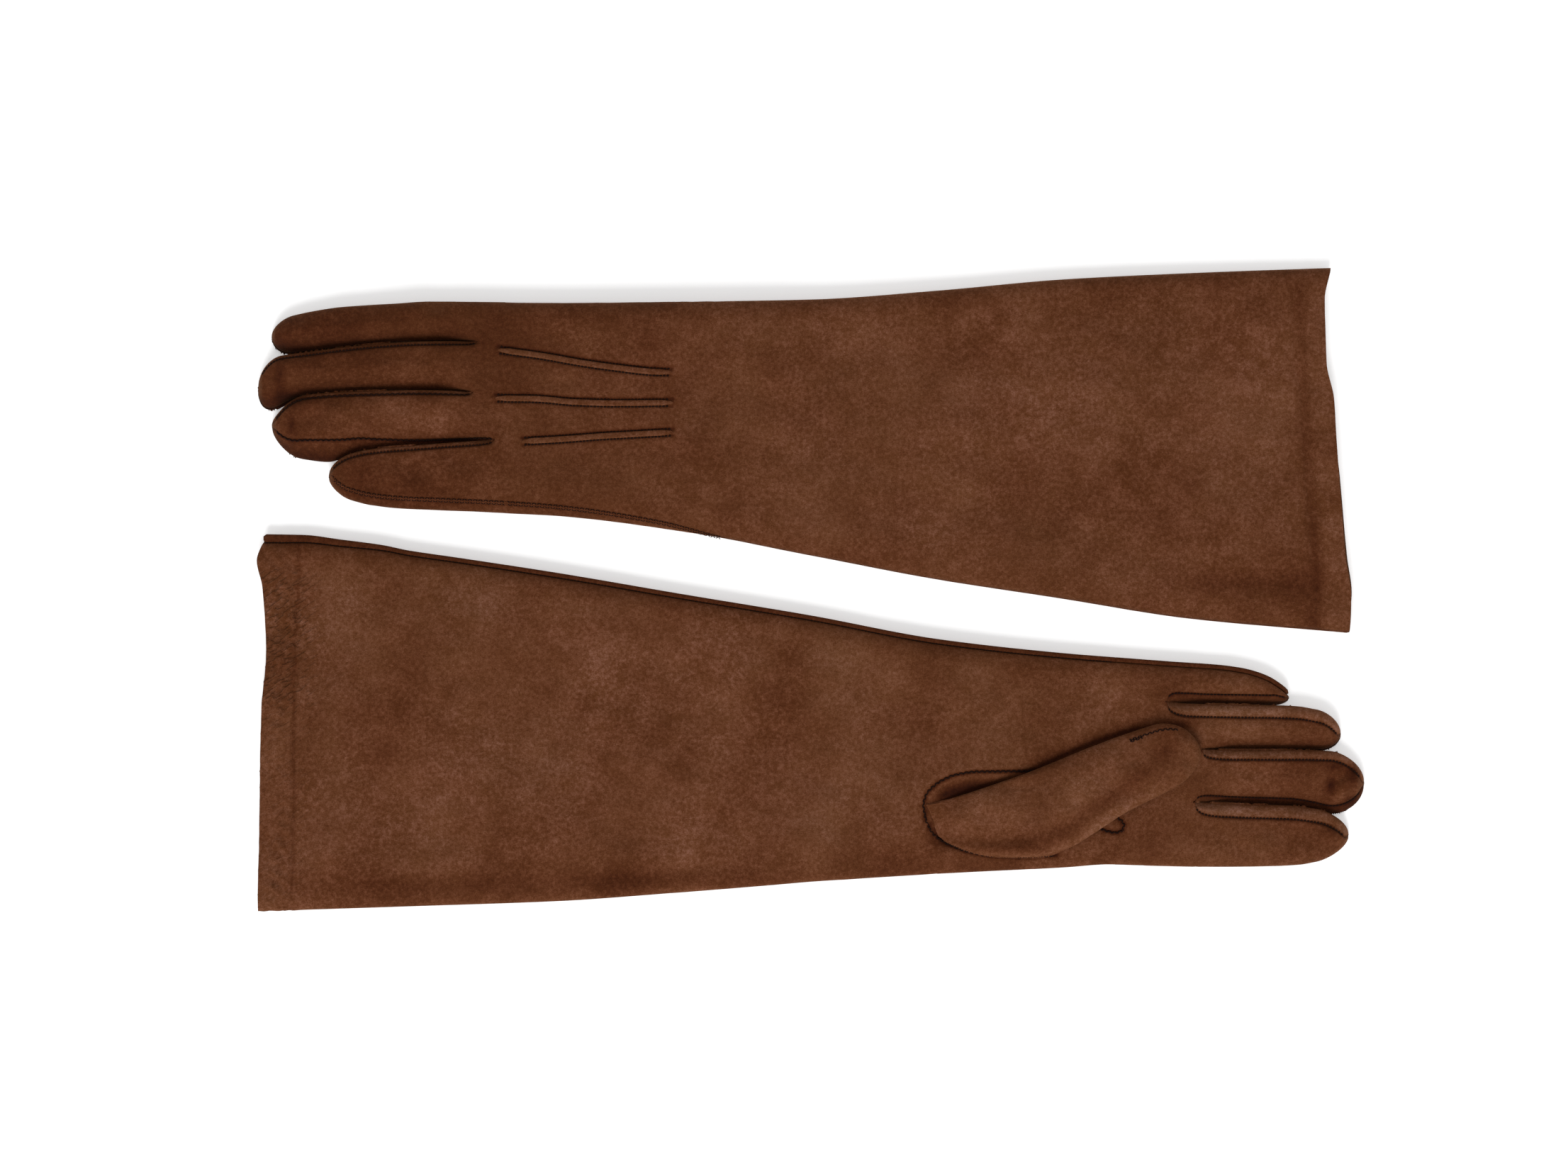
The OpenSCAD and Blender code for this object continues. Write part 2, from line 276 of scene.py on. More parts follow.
@dataclass(frozen=True)
class Patches:
    """Soft patches of worn nap, painted shade and painted highlight: middle x and y, width and height,
    and how dark, below 0 where light.
    """

    spots: tuple[tuple[float, float, float, float, float], ...]

    def __call__(self, x: Array, y: Array) -> Array:
        """How much darker each place is, from worn nap and painted shade, or lighter from a painted
        highlight.
        """
        total = np.zeros(np.broadcast(x, y).shape)
        for middle_x, middle_y, wide, tall, dark in self.spots:
            total = total + dark * bell(x - middle_x, wide) * bell(y - middle_y, tall)
        return total


def spread(count: int, crowding: float = 0.0) -> Array:
    """Shares from 0 to 1, crowded towards both ends by up to 1."""
    t = np.linspace(0.0, 1.0, count)
    return lerp(t, 0.5 - 0.5 * np.cos(math.pi * t), crowding)


def even_out(points: Array, shares: Array) -> Array:
    """Spaces each row of a surface by its own length.

    Args:
        points: Rows of closely set places, shape (rows, places, 3).
        shares: Where the new places go along a row, from 0 to 1.

    Returns:
        The rows with a place at each share, shape (rows, len(shares), 3).
    """
    out = np.empty((len(points), len(shares), 3))
    for row, (line, run) in enumerate(zip(points, run_along(points))):
        if run[-1] < 1e-6:
            out[row] = line[0]
            continue
        for axis in range(3):
            out[row, :, axis] = np.interp(shares * run[-1], run, line[:, axis])
    return out


def surface_normals(points: Array) -> Array:
    """Unit normals of a surface given as a grid of places, one for each place."""
    return unit(np.cross(np.gradient(points, axis=0), np.gradient(points, axis=1)))


@dataclass
class Panel:
    """One cut of leather as a grid of places in its glove's frame, in mm.

    Attributes:
        points: The outside face, shape (rows, columns, 3).
        heart: A place inside the glove for each row, which says which face is the outside.
        tone: How light the leather is at each place, 1 for plain.
        room: The share of the leather's thickness that there is room for in each row, or None for all.
    """

    points: Array
    heart: Array
    tone: Array
    room: Optional[Array] = None

    SEAM_DARK = 0.62

    def normals(self) -> tuple[Array, float]:
        """The surface's normals, and 1 where they point out of the glove or -1 where they point in."""
        normal = surface_normals(self.points)
        away = self.points - self.heart[:, None, :]
        return normal, float(np.sign((normal * away).sum()))

    def outward(self) -> "Panel":
        """The same panel with its faces pointing out of the glove."""
        if self.normals()[1] < 0:
            return Panel(self.points[:, ::-1], self.heart, self.tone[:, ::-1], self.room)
        return self

    def sewn(self, near: Number, far: Number, depth: float = 0.4, reach: float = 0.7) -> "Panel":
        """Rolls the panel's long edges down into the seam.

        Args:
            near: How much the first column's edge takes part, 0 to 1, for all rows or for each.
            far: How much the last column's edge takes part, 0 to 1, for all rows or for each.
            depth: How deep the edge goes.
            reach: How far from the edge the leather starts to turn.
        """
        run = run_along(self.points)
        near, far = (np.reshape(np.asarray(e, float), (-1, 1)) for e in (near, far))
        fall = near * bell(run, reach) + far * bell(run[:, -1:] - run, reach)
        fall = fall * ramp(run[:, -1:], 0.5, 3.0)
        normal, way = self.normals()
        self.points = self.points - normal * way * (depth * fall)[:, :, None]
        self.tone = self.tone * (1.0 - self.SEAM_DARK * np.clip(fall, 0, 1))
        return self


# ---------------------------------------------------------------- meshes


def select_only(piece: bpy.types.Object) -> None:
    """Makes one piece the only one that an operator acts on."""
    bpy.ops.object.select_all(action="DESELECT")
    piece.select_set(True)
    bpy.context.view_layer.objects.active = piece


def edit_whole(piece: bpy.types.Object, operator: Callable, **settings: object) -> None:
    """Runs one editing operator on the whole of a piece's mesh."""
    select_only(piece)
    bpy.ops.object.mode_set(mode="EDIT")
    bpy.ops.mesh.select_all(action="SELECT")
    operator(**settings)
    bpy.ops.object.mode_set(mode="OBJECT")


def mesh_piece(
    name: str, side: Side, points: Array, faces: Sequence[Sequence[int]], tone: Array
) -> bpy.types.Object:
    """Makes a piece from places in its glove's frame.

    Args:
        name: The piece's name after its side.
        side: The glove it belongs to.
        points: Its places in mm, shape (n, 3).
        faces: The places of each face.
        tone: How light the finish is at each place.

    Returns:
        The piece, with its tone and its lay, the place that each point has at rest.
    """
    world = points * np.array([side.value, side.value, 1.0]) * MM
    mesh = bpy.data.meshes.new(f"{side.word}_{name}")
    mesh.from_pydata(world.tolist(), [], faces)
    shade = mesh.attributes.new("tone", "FLOAT", "POINT")
    shade.data.foreach_set("value", tone.astype(np.float32))
    lay = mesh.attributes.new("lay", "FLOAT_VECTOR", "POINT")
    lay.data.foreach_set("vector", world.astype(np.float32).ravel())
    mesh.validate()
    piece = bpy.data.objects.new(f"{side.word}_{name}", mesh)
    bpy.context.scene.collection.objects.link(piece)
    return piece


def grid_faces(rows: int, columns: int, first: int = 0, closed: bool = False) -> list[list[int]]:
    """The four-sided faces of a grid of places, closed round its columns where asked."""
    faces = []
    last = columns if closed else columns - 1
    for r in range(rows - 1):
        for c in range(last):
            d = (c + 1) % columns
            a = first + r * columns
            b = a + columns
            faces.append([a + c, b + c, b + d, a + d])
    return faces


def leather_piece(
    name: str, side: Side, panels: Sequence[Panel], thickness: float = LEATHER
) -> bpy.types.Object:
    """Makes cuts of leather into one piece with a real thickness, inwards from the outside face.

    Args:
        name: The piece's name after its side.
        side: The glove it belongs to.
        panels: The cuts, which stay apart where they meet at a seam.
        thickness: The leather's thickness in mm.

    Returns:
        The piece.
    """
    points, tones, rooms, faces, first = [], [], [], [], 0
    for panel in (p.outward() for p in panels):
        rows, columns = panel.tone.shape
        points.append(panel.points.reshape(-1, 3))
        tones.append(panel.tone.ravel())
        if panel.room is not None:
            rooms.append(np.repeat(panel.room, columns))
        faces += grid_faces(rows, columns, first)
        first += rows * columns
    piece = mesh_piece(name, side, np.concatenate(points), faces, np.concatenate(tones))
    skin = piece.modifiers.new("thickness", "SOLIDIFY")
    if rooms:
        group = piece.vertex_groups.new(name="room")
        steps = np.ceil(np.concatenate(rooms) * ROOM_STEPS).astype(int)
        for step in range(ROOM_STEPS + 1):
            group.add(np.flatnonzero(steps == step).tolist(), step / ROOM_STEPS, "REPLACE")
        skin.vertex_group = group.name
        skin.thickness_vertex_group = 0.03
    edit_whole(piece, bpy.ops.mesh.dissolve_degenerate, threshold=MERGE * MM)
    skin.thickness = thickness * MM
    skin.offset = -1.0
    skin.use_rim = True
    bpy.ops.object.modifier_apply(modifier=skin.name)
    piece.vertex_groups.clear()
    bpy.ops.object.shade_smooth_by_angle(angle=math.radians(55))
    return piece


def swept_piece(
    name: str,
    side: Side,
    path: Array,
    across: Array,
    up: Array,
    half_width: Number,
    half_height: Number,
    tone: float,
    ring: int,
    ends: tuple[float, float] = (0.45, 0.45),
) -> bpy.types.Object:
    """A strip with a rounded section that follows a path, closed at both ends.

    Args:
        name: The piece's name after its side.
        side: The glove it belongs to.
        path: The middle of the strip, shape (n, 3).
        across: Unit vectors across the strip, shape (n, 3).
        up: Unit vectors out of its upper face, shape (n, 3).
        half_width: Half its width at each place.
        half_height: Half its thickness at each place.
        tone: How light it is.
        ring: How many places go round the section.
        ends: How much of its section is left at its two ends.

    Returns:
        The strip.
    """
    count = len(path)
    angle = np.linspace(0, math.tau, ring, endpoint=False)
    wide, tall = (np.sign(turn) * np.abs(turn) ** 0.7 for turn in (np.cos(angle), np.sin(angle)))
    width, height = (np.full(count, 1.0) * size for size in (half_width, half_height))
    for end, share in ((0, ends[0]), (-1, ends[1])):
        width[end] *= share
        height[end] *= share
    points = (
        path[:, None, :]
        + across[:, None, :] * (width[:, None] * wide[None, :])[:, :, None]
        + up[:, None, :] * (height[:, None] * tall[None, :])[:, :, None]
    )
    faces = grid_faces(count, ring, closed=True)
    faces += [list(range(ring)), list(range((count - 1) * ring, count * ring))]
    piece = mesh_piece(name, side, points.reshape(-1, 3), faces, np.full(count * ring, float(tone)))
    edit_whole(piece, bpy.ops.mesh.normals_make_consistent, inside=False)
    bpy.ops.object.shade_smooth_by_angle(angle=math.radians(50))
    return piece


@dataclass(frozen=True)
class StitchKind:
    """How a row is sewn: its pitch, length, thread, zigzag in radians, and how deep it is sunk."""

    pitch: float = 1.35
    length: float = 1.05
    thread: float = 0.32
    slant: float = 0.0
    sunk: float = 0.05


def stitch_template(kind: StitchKind) -> tuple[Array, list[list[int]]]:
    """One short, fat stitch lying along x: a few dozen faces."""
    ring, rows = 6, [(-0.5, 0.35), (-0.32, 0.9), (0.0, 1.0), (0.32, 0.9), (0.5, 0.35)]
    angle = np.linspace(0, math.tau, ring, endpoint=False)
    points = [
        (
            place * kind.length,
            math.cos(a) * girth * kind.thread,
            math.sin(a) * girth * kind.thread - 0.6 * kind.thread * (2 * place) ** 2,
        )
        for place, girth in rows
        for a in angle
    ]
    faces = grid_faces(len(rows), ring, closed=True)
    faces += [list(range(ring))[::-1], list(range((len(rows) - 1) * ring, len(rows) * ring))]
    return np.array(points), faces


@dataclass
class StitchRow:
    """A path of stitches with the way out of the leather at each place."""

    path: Array
    up: Array
    kind: StitchKind

    def build(self) -> tuple[Array, list[list[int]]]:
        """The places and faces of every stitch in the row."""
        run = run_along(self.path)
        count = int((run[-1] - self.kind.length) / self.kind.pitch)
        template, shape = stitch_template(self.kind)
        points, faces = [], []
        for i in range(max(count, 0)):
            at = self.kind.length / 2 + (i + 0.5) * self.kind.pitch
            here, ahead, out = (
                np.array([np.interp(at + d, run, line[:, k]) for k in range(3)])
                for d, line in ((0.0, self.path), (0.3, self.path), (0.0, self.up))
            )
            tangent = unit(ahead - here)
            out = unit(out - tangent * float(out @ tangent))
            beside = np.cross(out, tangent)
            slant = self.kind.slant * (1 if i % 2 else -1)
            t = tangent * math.cos(slant) + beside * math.sin(slant)
            b = np.cross(out, t)
            centre = here - out * self.kind.sunk
            placed = centre + template[:, :1] * t + template[:, 1:2] * b + template[:, 2:] * out
            first = len(points) * len(template)
            points.append(placed)
            faces += [[first + k for k in face] for face in shape]
        return (np.concatenate(points) if points else np.zeros((0, 3))), faces


def stitches_piece(name: str, side: Side, rows: Sequence[StitchRow]) -> bpy.types.Object:
    """Makes several rows of stitches into one piece."""
    points, faces, first = [], [], 0
    for row in rows:
        places, shape = row.build()
        points.append(places)
        faces += [[first + k for k in face] for face in shape]
        first += len(places)
    flat = np.concatenate(points)
    piece = mesh_piece(name, side, flat, faces, np.ones(len(flat)))
    select_only(piece)
    bpy.ops.object.shade_smooth()
    return piece


# ---------------------------------------------------------------- finishes

Socket = bpy.types.NodeSocket
Value = Union["Tap", float]


class Tap:
    """A value in a material, so that shader maths reads as plain expressions."""

    def __init__(self, shop: "Shop", socket: Socket) -> None:
        """Wraps one output socket of a material's nodes."""
        self.shop, self.socket = shop, socket

    def _math(self, operation: str, a: Value, b: Value) -> "Tap":
        """Adds the Math node for one operation."""
        return self.shop.node("ShaderNodeMath", {"operation": operation}, {0: a, 1: b})

    def __add__(self, other: Value) -> "Tap":
        """self + other."""
        return self._math("ADD", self, other)

    def __radd__(self, other: Value) -> "Tap":
        """other + self."""
        return self._math("ADD", other, self)

    def __sub__(self, other: Value) -> "Tap":
        """self - other."""
        return self._math("SUBTRACT", self, other)

    def __mul__(self, other: Value) -> "Tap":
        """self * other."""
        return self._math("MULTIPLY", self, other)


class Shop:
    """Builds one material's nodes."""

    def __init__(self, name: str) -> None:
        """Starts a material with its Principled shader."""
        self.material = bpy.data.materials.new(name)
        self.material.use_nodes = True
        self.tree = self.material.node_tree
        self.shader = self.tree.nodes["Principled BSDF"]

    def node(
        self,
        kind: str,
        settings: dict[str, object],
        inputs: dict[Union[int, str], object],
        out: Union[int, str] = 0,
    ) -> Tap:
        """Adds any node.

        Args:
            kind: The node's type.
            settings: What is set on the node itself, such as its operation.
            inputs: The values or links of its sockets, by number or name.
            out: The output that is wanted.

        Returns:
            That output.
        """
        node = self.tree.nodes.new(kind)
        for key, value in settings.items():
            setattr(node, key, value)
        for key, value in inputs.items():
            self.feed(node.inputs[key], value)
        return Tap(self, node.outputs[out])

    def feed(self, socket: Socket, value: object) -> None:
        """Links a value to a socket, or sets it there."""
        if isinstance(value, Tap):
            self.tree.links.new(value.socket, socket)
        else:
            socket.default_value = value

    def attribute(self, name: str, out: str) -> Tap:
        """A piece's own attribute."""
        settings = {"attribute_type": "GEOMETRY", "attribute_name": name}
        return self.node("ShaderNodeAttribute", settings, {}, out)

    def noise(self, place: Tap, size_mm: float, detail: float = 3.0, rough: float = 0.55) -> Tap:
        """Noise whose blotches are about size_mm across."""
        inputs = {"Vector": place, "Scale": 1000.0 / size_mm, "Detail": detail, "Roughness": rough}
        return self.node("ShaderNodeTexNoise", {}, inputs, "Fac")

    def steep(self, value: Tap, low: float, high: float) -> Tap:
        """Stretches the part of a value between low and high to 0 and 1, smoothly."""
        settings = {"interpolation_type": "SMOOTHSTEP"}
        return self.node("ShaderNodeMapRange", settings, {0: value, 1: low, 2: high, 3: 0.0, 4: 1.0})

    def bump(self, height: Tap, strength: float, distance: float) -> Tap:
        """Normals that follow a height."""
        inputs = {"Height": height, "Strength": strength, "Distance": distance}
        return self.node("ShaderNodeBump", {}, inputs)

    def mix(self, share: Value, a: object, b: object, blend: str = "MIX") -> Tap:
        """Mixes two colours."""
        settings = {"data_type": "RGBA", "blend_type": blend}
        return self.node("ShaderNodeMix", settings, {0: share, 6: a, 7: b}, 2)

    def grey(self, value: Tap) -> Tap:
        """A value as a grey colour."""
        return self.node("ShaderNodeCombineColor", {}, {0: value, 1: value, 2: value})

    def warm(self, value: Tap) -> Tap:
        """A value near 1 as a colour that gets redder as it gets darker."""
        green, blue = (
            self.node("ShaderNodeMath", {"operation": "POWER"}, {0: value, 1: power})
            for power in (1.5, 2.2)
        )
        return self.node("ShaderNodeCombineColor", {}, {0: value, 1: green, 2: blue})

    def surface(self, **values: object) -> bpy.types.Material:
        """Feeds the Principled shader's sockets, with _ for a space, and returns the material."""
        for key, value in values.items():
            self.feed(self.shader.inputs[key.replace("_", " ")], value)
        return self.material


Colour = tuple[float, float, float, float]


@dataclass(frozen=True)
class SuedeFinish:
    """Brushed split leather: a short nap that lies light one way and dark the other."""

    name: str
    dark: Colour
    plain: Colour
    light: Colour
    olive: Colour
    nap: float = 1.0

    CREASE = (0.03, 0.009, 0.002, 1.0)
    SHEEN = (0.75, 0.36, 0.14, 1.0)

    def build(self) -> bpy.types.Material:
        """Makes the material: blotches of nap in three sizes, fine fibres, painted shade in the
        crinkles' creases, and a soft sheen.
        """
        shop = Shop(self.name)
        lay = shop.attribute("lay", "Vector")
        tone = shop.attribute("tone", "Fac")
        broad = shop.noise(lay, 26.0, 3.0)
        patch = shop.noise(lay, 7.5, 4.0, 0.6)
        nap = shop.noise(lay, 1.5, 4.0, 0.65)
        fibre = shop.noise(lay, 0.42, 2.0, 0.6)
        drift = shop.noise(lay, 60.0, 2.0)
        brushed = shop.steep(broad * 0.35 + patch * 0.35 + nap * 0.3, 0.3, 0.68)
        colour = shop.mix(brushed, self.dark, self.plain)
        bright = shop.steep(patch * 0.35 + nap * 0.65, 0.42, 0.75)
        colour = shop.mix(bright * 0.5, colour, self.light)
        tan = shop.steep(drift * 0.5 + broad * 0.5, 0.35, 0.7)
        colour = shop.mix(tan * 0.4, colour, self.olive)
        speck = 0.1 + (nap * 0.6 + fibre * 1.1) * 1.06
        # the tone carries painted shade and highlights as well as lighter and darker leather
        colour = shop.mix(1.0, colour, shop.warm(speck * tone), "MULTIPLY")
        height = nap * 0.5 + fibre * 0.5 + patch * 0.35
        place = shop.node(
            "ShaderNodeMapping",
            {"vector_type": "TEXTURE"},
            {"Vector": lay, "Rotation": (0.0, 0.0, 0.6), "Scale": (4.5, 1.0, 1.0)},
        )
        crease = shop.steep(shop.noise(place, 1.3, 1.0, 0.5), 0.5, 0.66)
        crease = crease * shop.attribute("crinkle", "Fac")
        # painted shade: the crinkles' creases are darkened towards near black as well as bumped
        colour = shop.mix(crease * 0.24, colour, self.CREASE)
        bump = shop.bump(height - crease * 1.3, 0.75, 0.00055 * self.nap)
        return shop.surface(
            Base_Color=colour,
            Roughness=0.82 + fibre * 0.16,
            Normal=bump,
            Specular_IOR_Level=0.1,
            Sheen_Weight=0.16,
            Sheen_Roughness=0.5,
            Sheen_Tint=self.SHEEN,
        )


@dataclass(frozen=True)
class ThreadFinish:
    """Waxed sewing thread with its twist."""

    name: str
    colour: Colour

    def build(self) -> bpy.types.Material:
        """Makes the material: a dark thread whose strands catch a little light."""
        shop = Shop(self.name)
        lay = shop.attribute("lay", "Vector")
        strand = shop.noise(lay, 0.35, 2.0)
        shade = shop.grey(0.6 + strand * 0.8)
        colour = shop.mix(1.0, self.colour, shade, "MULTIPLY")
        bump = shop.bump(strand, 0.5, 0.0001)
        return shop.surface(
            Base_Color=colour, Roughness=0.8 + strand * 0.15, Normal=bump, Specular_IOR_Level=0.08
        )


@dataclass(frozen=True)
class FloorFinish:
    """Seamless white paper."""

    name: str = "white_paper"

    def build(self) -> bpy.types.Material:
        """Makes the material: almost even, with a very faint tooth."""
        shop = Shop(self.name)
        place = shop.node("ShaderNodeTexCoord", {}, {}, "Object")
        tooth = shop.noise(place, 3.0, 2.0)
        shade = shop.mix(tooth, (0.95, 0.95, 0.95, 1.0), (0.965, 0.965, 0.965, 1.0))
        return shop.surface(
            Base_Color=shade,
            Roughness=0.9,
            Specular_IOR_Level=0.1,
            Emission_Color=(1.0, 1.0, 1.0, 1.0),
            Emission_Strength=0.34,
        )


# ---------------------------------------------------------------- the glove's outline and heights


@dataclass(frozen=True)
class FingerPlan:
    """One finger as it lies.

    Attributes:
        name: The finger, as its body and nodes are named.
        a: Its index-side edge.
        b: Its little-finger-side edge.
        tip: The end of the finger.
        tip_length: How far back from the end it starts to round.
        slit_a: Where its upper face parts from its neighbour on the index side, or None.
        slit_b: The same on the other side.
        under_a: Where its lower face parts from that neighbour.
        under_b: The same on the other side.
        seam_a: How far inside its edge the upper seam lies on the index side.
        seam_b: The same on the other side, where it may vary along the glove.
        height: How thick the finger is.
        hinge: Where its knuckle is.
        tone: How light its leather is at the tip.
        creases: Its own small folds.
    """

    name: str
    a: Trace
    b: Trace
    tip: tuple[float, float]
    tip_length: float
    slit_a: Optional[float]
    slit_b: Optional[float]
    under_a: Optional[float]
    under_b: Optional[float]
    seam_a: float
    seam_b: Union[float, Trace]
    height: float
    hinge: float
    tone: float
    creases: Sequence[Fold] = ()


@dataclass
class Lie:
    """How one glove lies: its outline, and the heights of its upper and lower faces.

    Attributes:
        side: Which glove.
        fold: Its index-side edge, where the leather folds.
        seam: Its little-finger-side edge.
        hem_x: The hem's mean place.
        hem: Where the upper layer's hem is, by y.
        base: The height of its lower face along it.
        thick: Its thickness along it.
        folds: Its soft folds.
        fingers: Its fingers, from the index.
        steep: +1 where the b edges stand steep, -1 where the a edges do.
        crinkle: How much the hem crinkles.
        seed: The draw of its unevenness.
        dull: How much darker the hand is than the sleeve.
        lines: The sewn lines pressed into its upper face and darkened, partly with painted shade.
        peek: How far the lower layer's hem reaches past the upper one's, by y.
        hollow: How far the upper face is sunk inside the thumb's hole, or None.
        nap_and_shade: How much darker than plain the leather is at each place, from worn nap and from
            painted shade and highlight, or None.
    """

    side: Side
    fold: Trace
    seam: Trace
    hem_x: float
    hem: Trace
    base: Trace
    thick: Trace
    folds: Sequence[Fold]
    fingers: Sequence[FingerPlan]
    steep: float
    crinkle: float
    seed: int
    dull: float
    lines: Sequence[Line]
    peek: Optional[Trace] = None
    hollow: Optional[Callable[[Array, Array], Array]] = None
    nap_and_shade: Optional[Callable[[Array, Array], Array]] = None

    HEM_BAND = 12.6  # from the hem to its stitching

    def __post_init__(self) -> None:
        """Draws the leather's unevenness."""
        self.broad = Swell(self.seed, 38.0, 95.0)
        self.mid = Swell(self.seed + 1, 13.0, 28.0)
        self.small = Swell(self.seed + 2, 5.0, 10.0)
        self.crimp = Swell(self.seed + 3, 3.2, 6.5, lean=0.9)

    def middle(self, x: Number) -> Array:
        """The height of the widest part of a section."""
        return self.base(x) + 0.42 * self.thick(x)

    def shift(self, x: Number, y: Number, under: Number = 0.0) -> Array:
        """How far the hem's own line moves the leather; under is 1 on the lower layer."""
        fade = 1.0 - ramp(x, self.hem_x, self.hem_x + 70.0)
        past = self.peek(y) * under if self.peek is not None else 0.0
        return (self.hem(y) - self.hem_x - past) * fade

    def top(self, x: Array, y: Array) -> Array:
        """The height of the upper face across the whole sleeve and hand."""
        da = y - self.fold(x)
        db = self.seam(x) - y
        wide_a, wide_b = (13.0, 8.0) if self.steep > 0 else (8.0, 13.0)
        full = roundness(da, wide_a) * roundness(db, wide_b)
        inside = np.clip(np.minimum(da, db) / 22.0, 0.0, 1.0)
        z = self.middle(x) + 0.58 * self.thick(x) * full
        z = z + inside * (0.75 * self.broad(x, y) + 0.16 * self.mid(x, y))
        z = z + 0.05 * full * self.small(x, y)
        for fold in self.folds:
            z = z + full * fold.lift(x, y)
        from_hem = x - self.hem_x
        groove = bell(from_hem - self.HEM_BAND, 0.8)
        ridge = bell(from_hem - 10.4, 2.2) * 0.12
        crimped = bell(from_hem - 7.0, 7.5) * self.crinkle
        z = z + full * (ridge - 0.45 * groove + crimped * 0.42 * self.crimp(x, y))
        for line in self.lines:
            z = z - full * line.depth * line.near(x, y)
        if self.hollow is not None:
            z = z - self.hollow(x, y)
        return z

    def bottom(self, x: Array, y: Array) -> Array:
        """The height of the lower face across the whole sleeve and hand."""
        da = y - self.fold(x)
        db = self.seam(x) - y
        full = roundness(da, 6.0) * roundness(db, 6.0)
        return self.base(x) + (self.middle(x) - self.base(x)) * (1.0 - full)

    def plain_tone(self, x: Array, y: Array) -> Array:
        """How light the leather is, without its sewn lines and patches, but with painted shade along
        the sleeve's rounded edges.
        """
        dull = self.dull * ramp(x, -10.0, 150.0)
        cloud = 0.06 * self.broad(x * 0.9 + 40.0, y) + 0.035 * self.mid(x, y + 60.0)
        near = np.minimum(y - self.fold(x), self.seam(x) - y)
        # painted shade: the sleeve's leather darkens towards its fold and seam edges, where it rounds
        # away
        rim = 0.14 * bell(near, 8.0) * (1.0 - ramp(x, 60.0, 120.0))
        return 1.0 - dull + cloud - rim + 0.07 * bell(x - self.hem_x - 4.0, 5.5)

    def tone(self, points: Array) -> Array:
        """How light the leather is; its lines and its patches of worn nap, painted shade and painted
        highlight are on the upper layer alone.
        """
        x, y, z = np.moveaxis(points, -1, 0)
        above = ramp(z - self.base(x), 0.35, 1.0)
        shade = self.plain_tone(x, y)
        for line in self.lines:
            shade = shade * (1.0 - above * line.dark * line.near(x, y))
        return shade * (1.0 - above * self.nap_and_shade(x, y)) if self.nap_and_shade is not None else shade


Round = Callable[[Array], Array]  # how far round a finger a line lies, s, at each x


@dataclass
class FingerParts:
    """What one finger is cut and sewn from.

    Attributes:
        leather: The panels of its back and palm.
        fourchettes: The strips that join them, by the edge that they are on.
        seams: Each upper seam that shows: its places x, its line, and whether it is the outseam.
    """

    leather: list[Panel] = field(default_factory=list)
    fourchettes: dict[str, Panel] = field(default_factory=dict)
    seams: list[tuple[Array, Round, bool]] = field(default_factory=list)


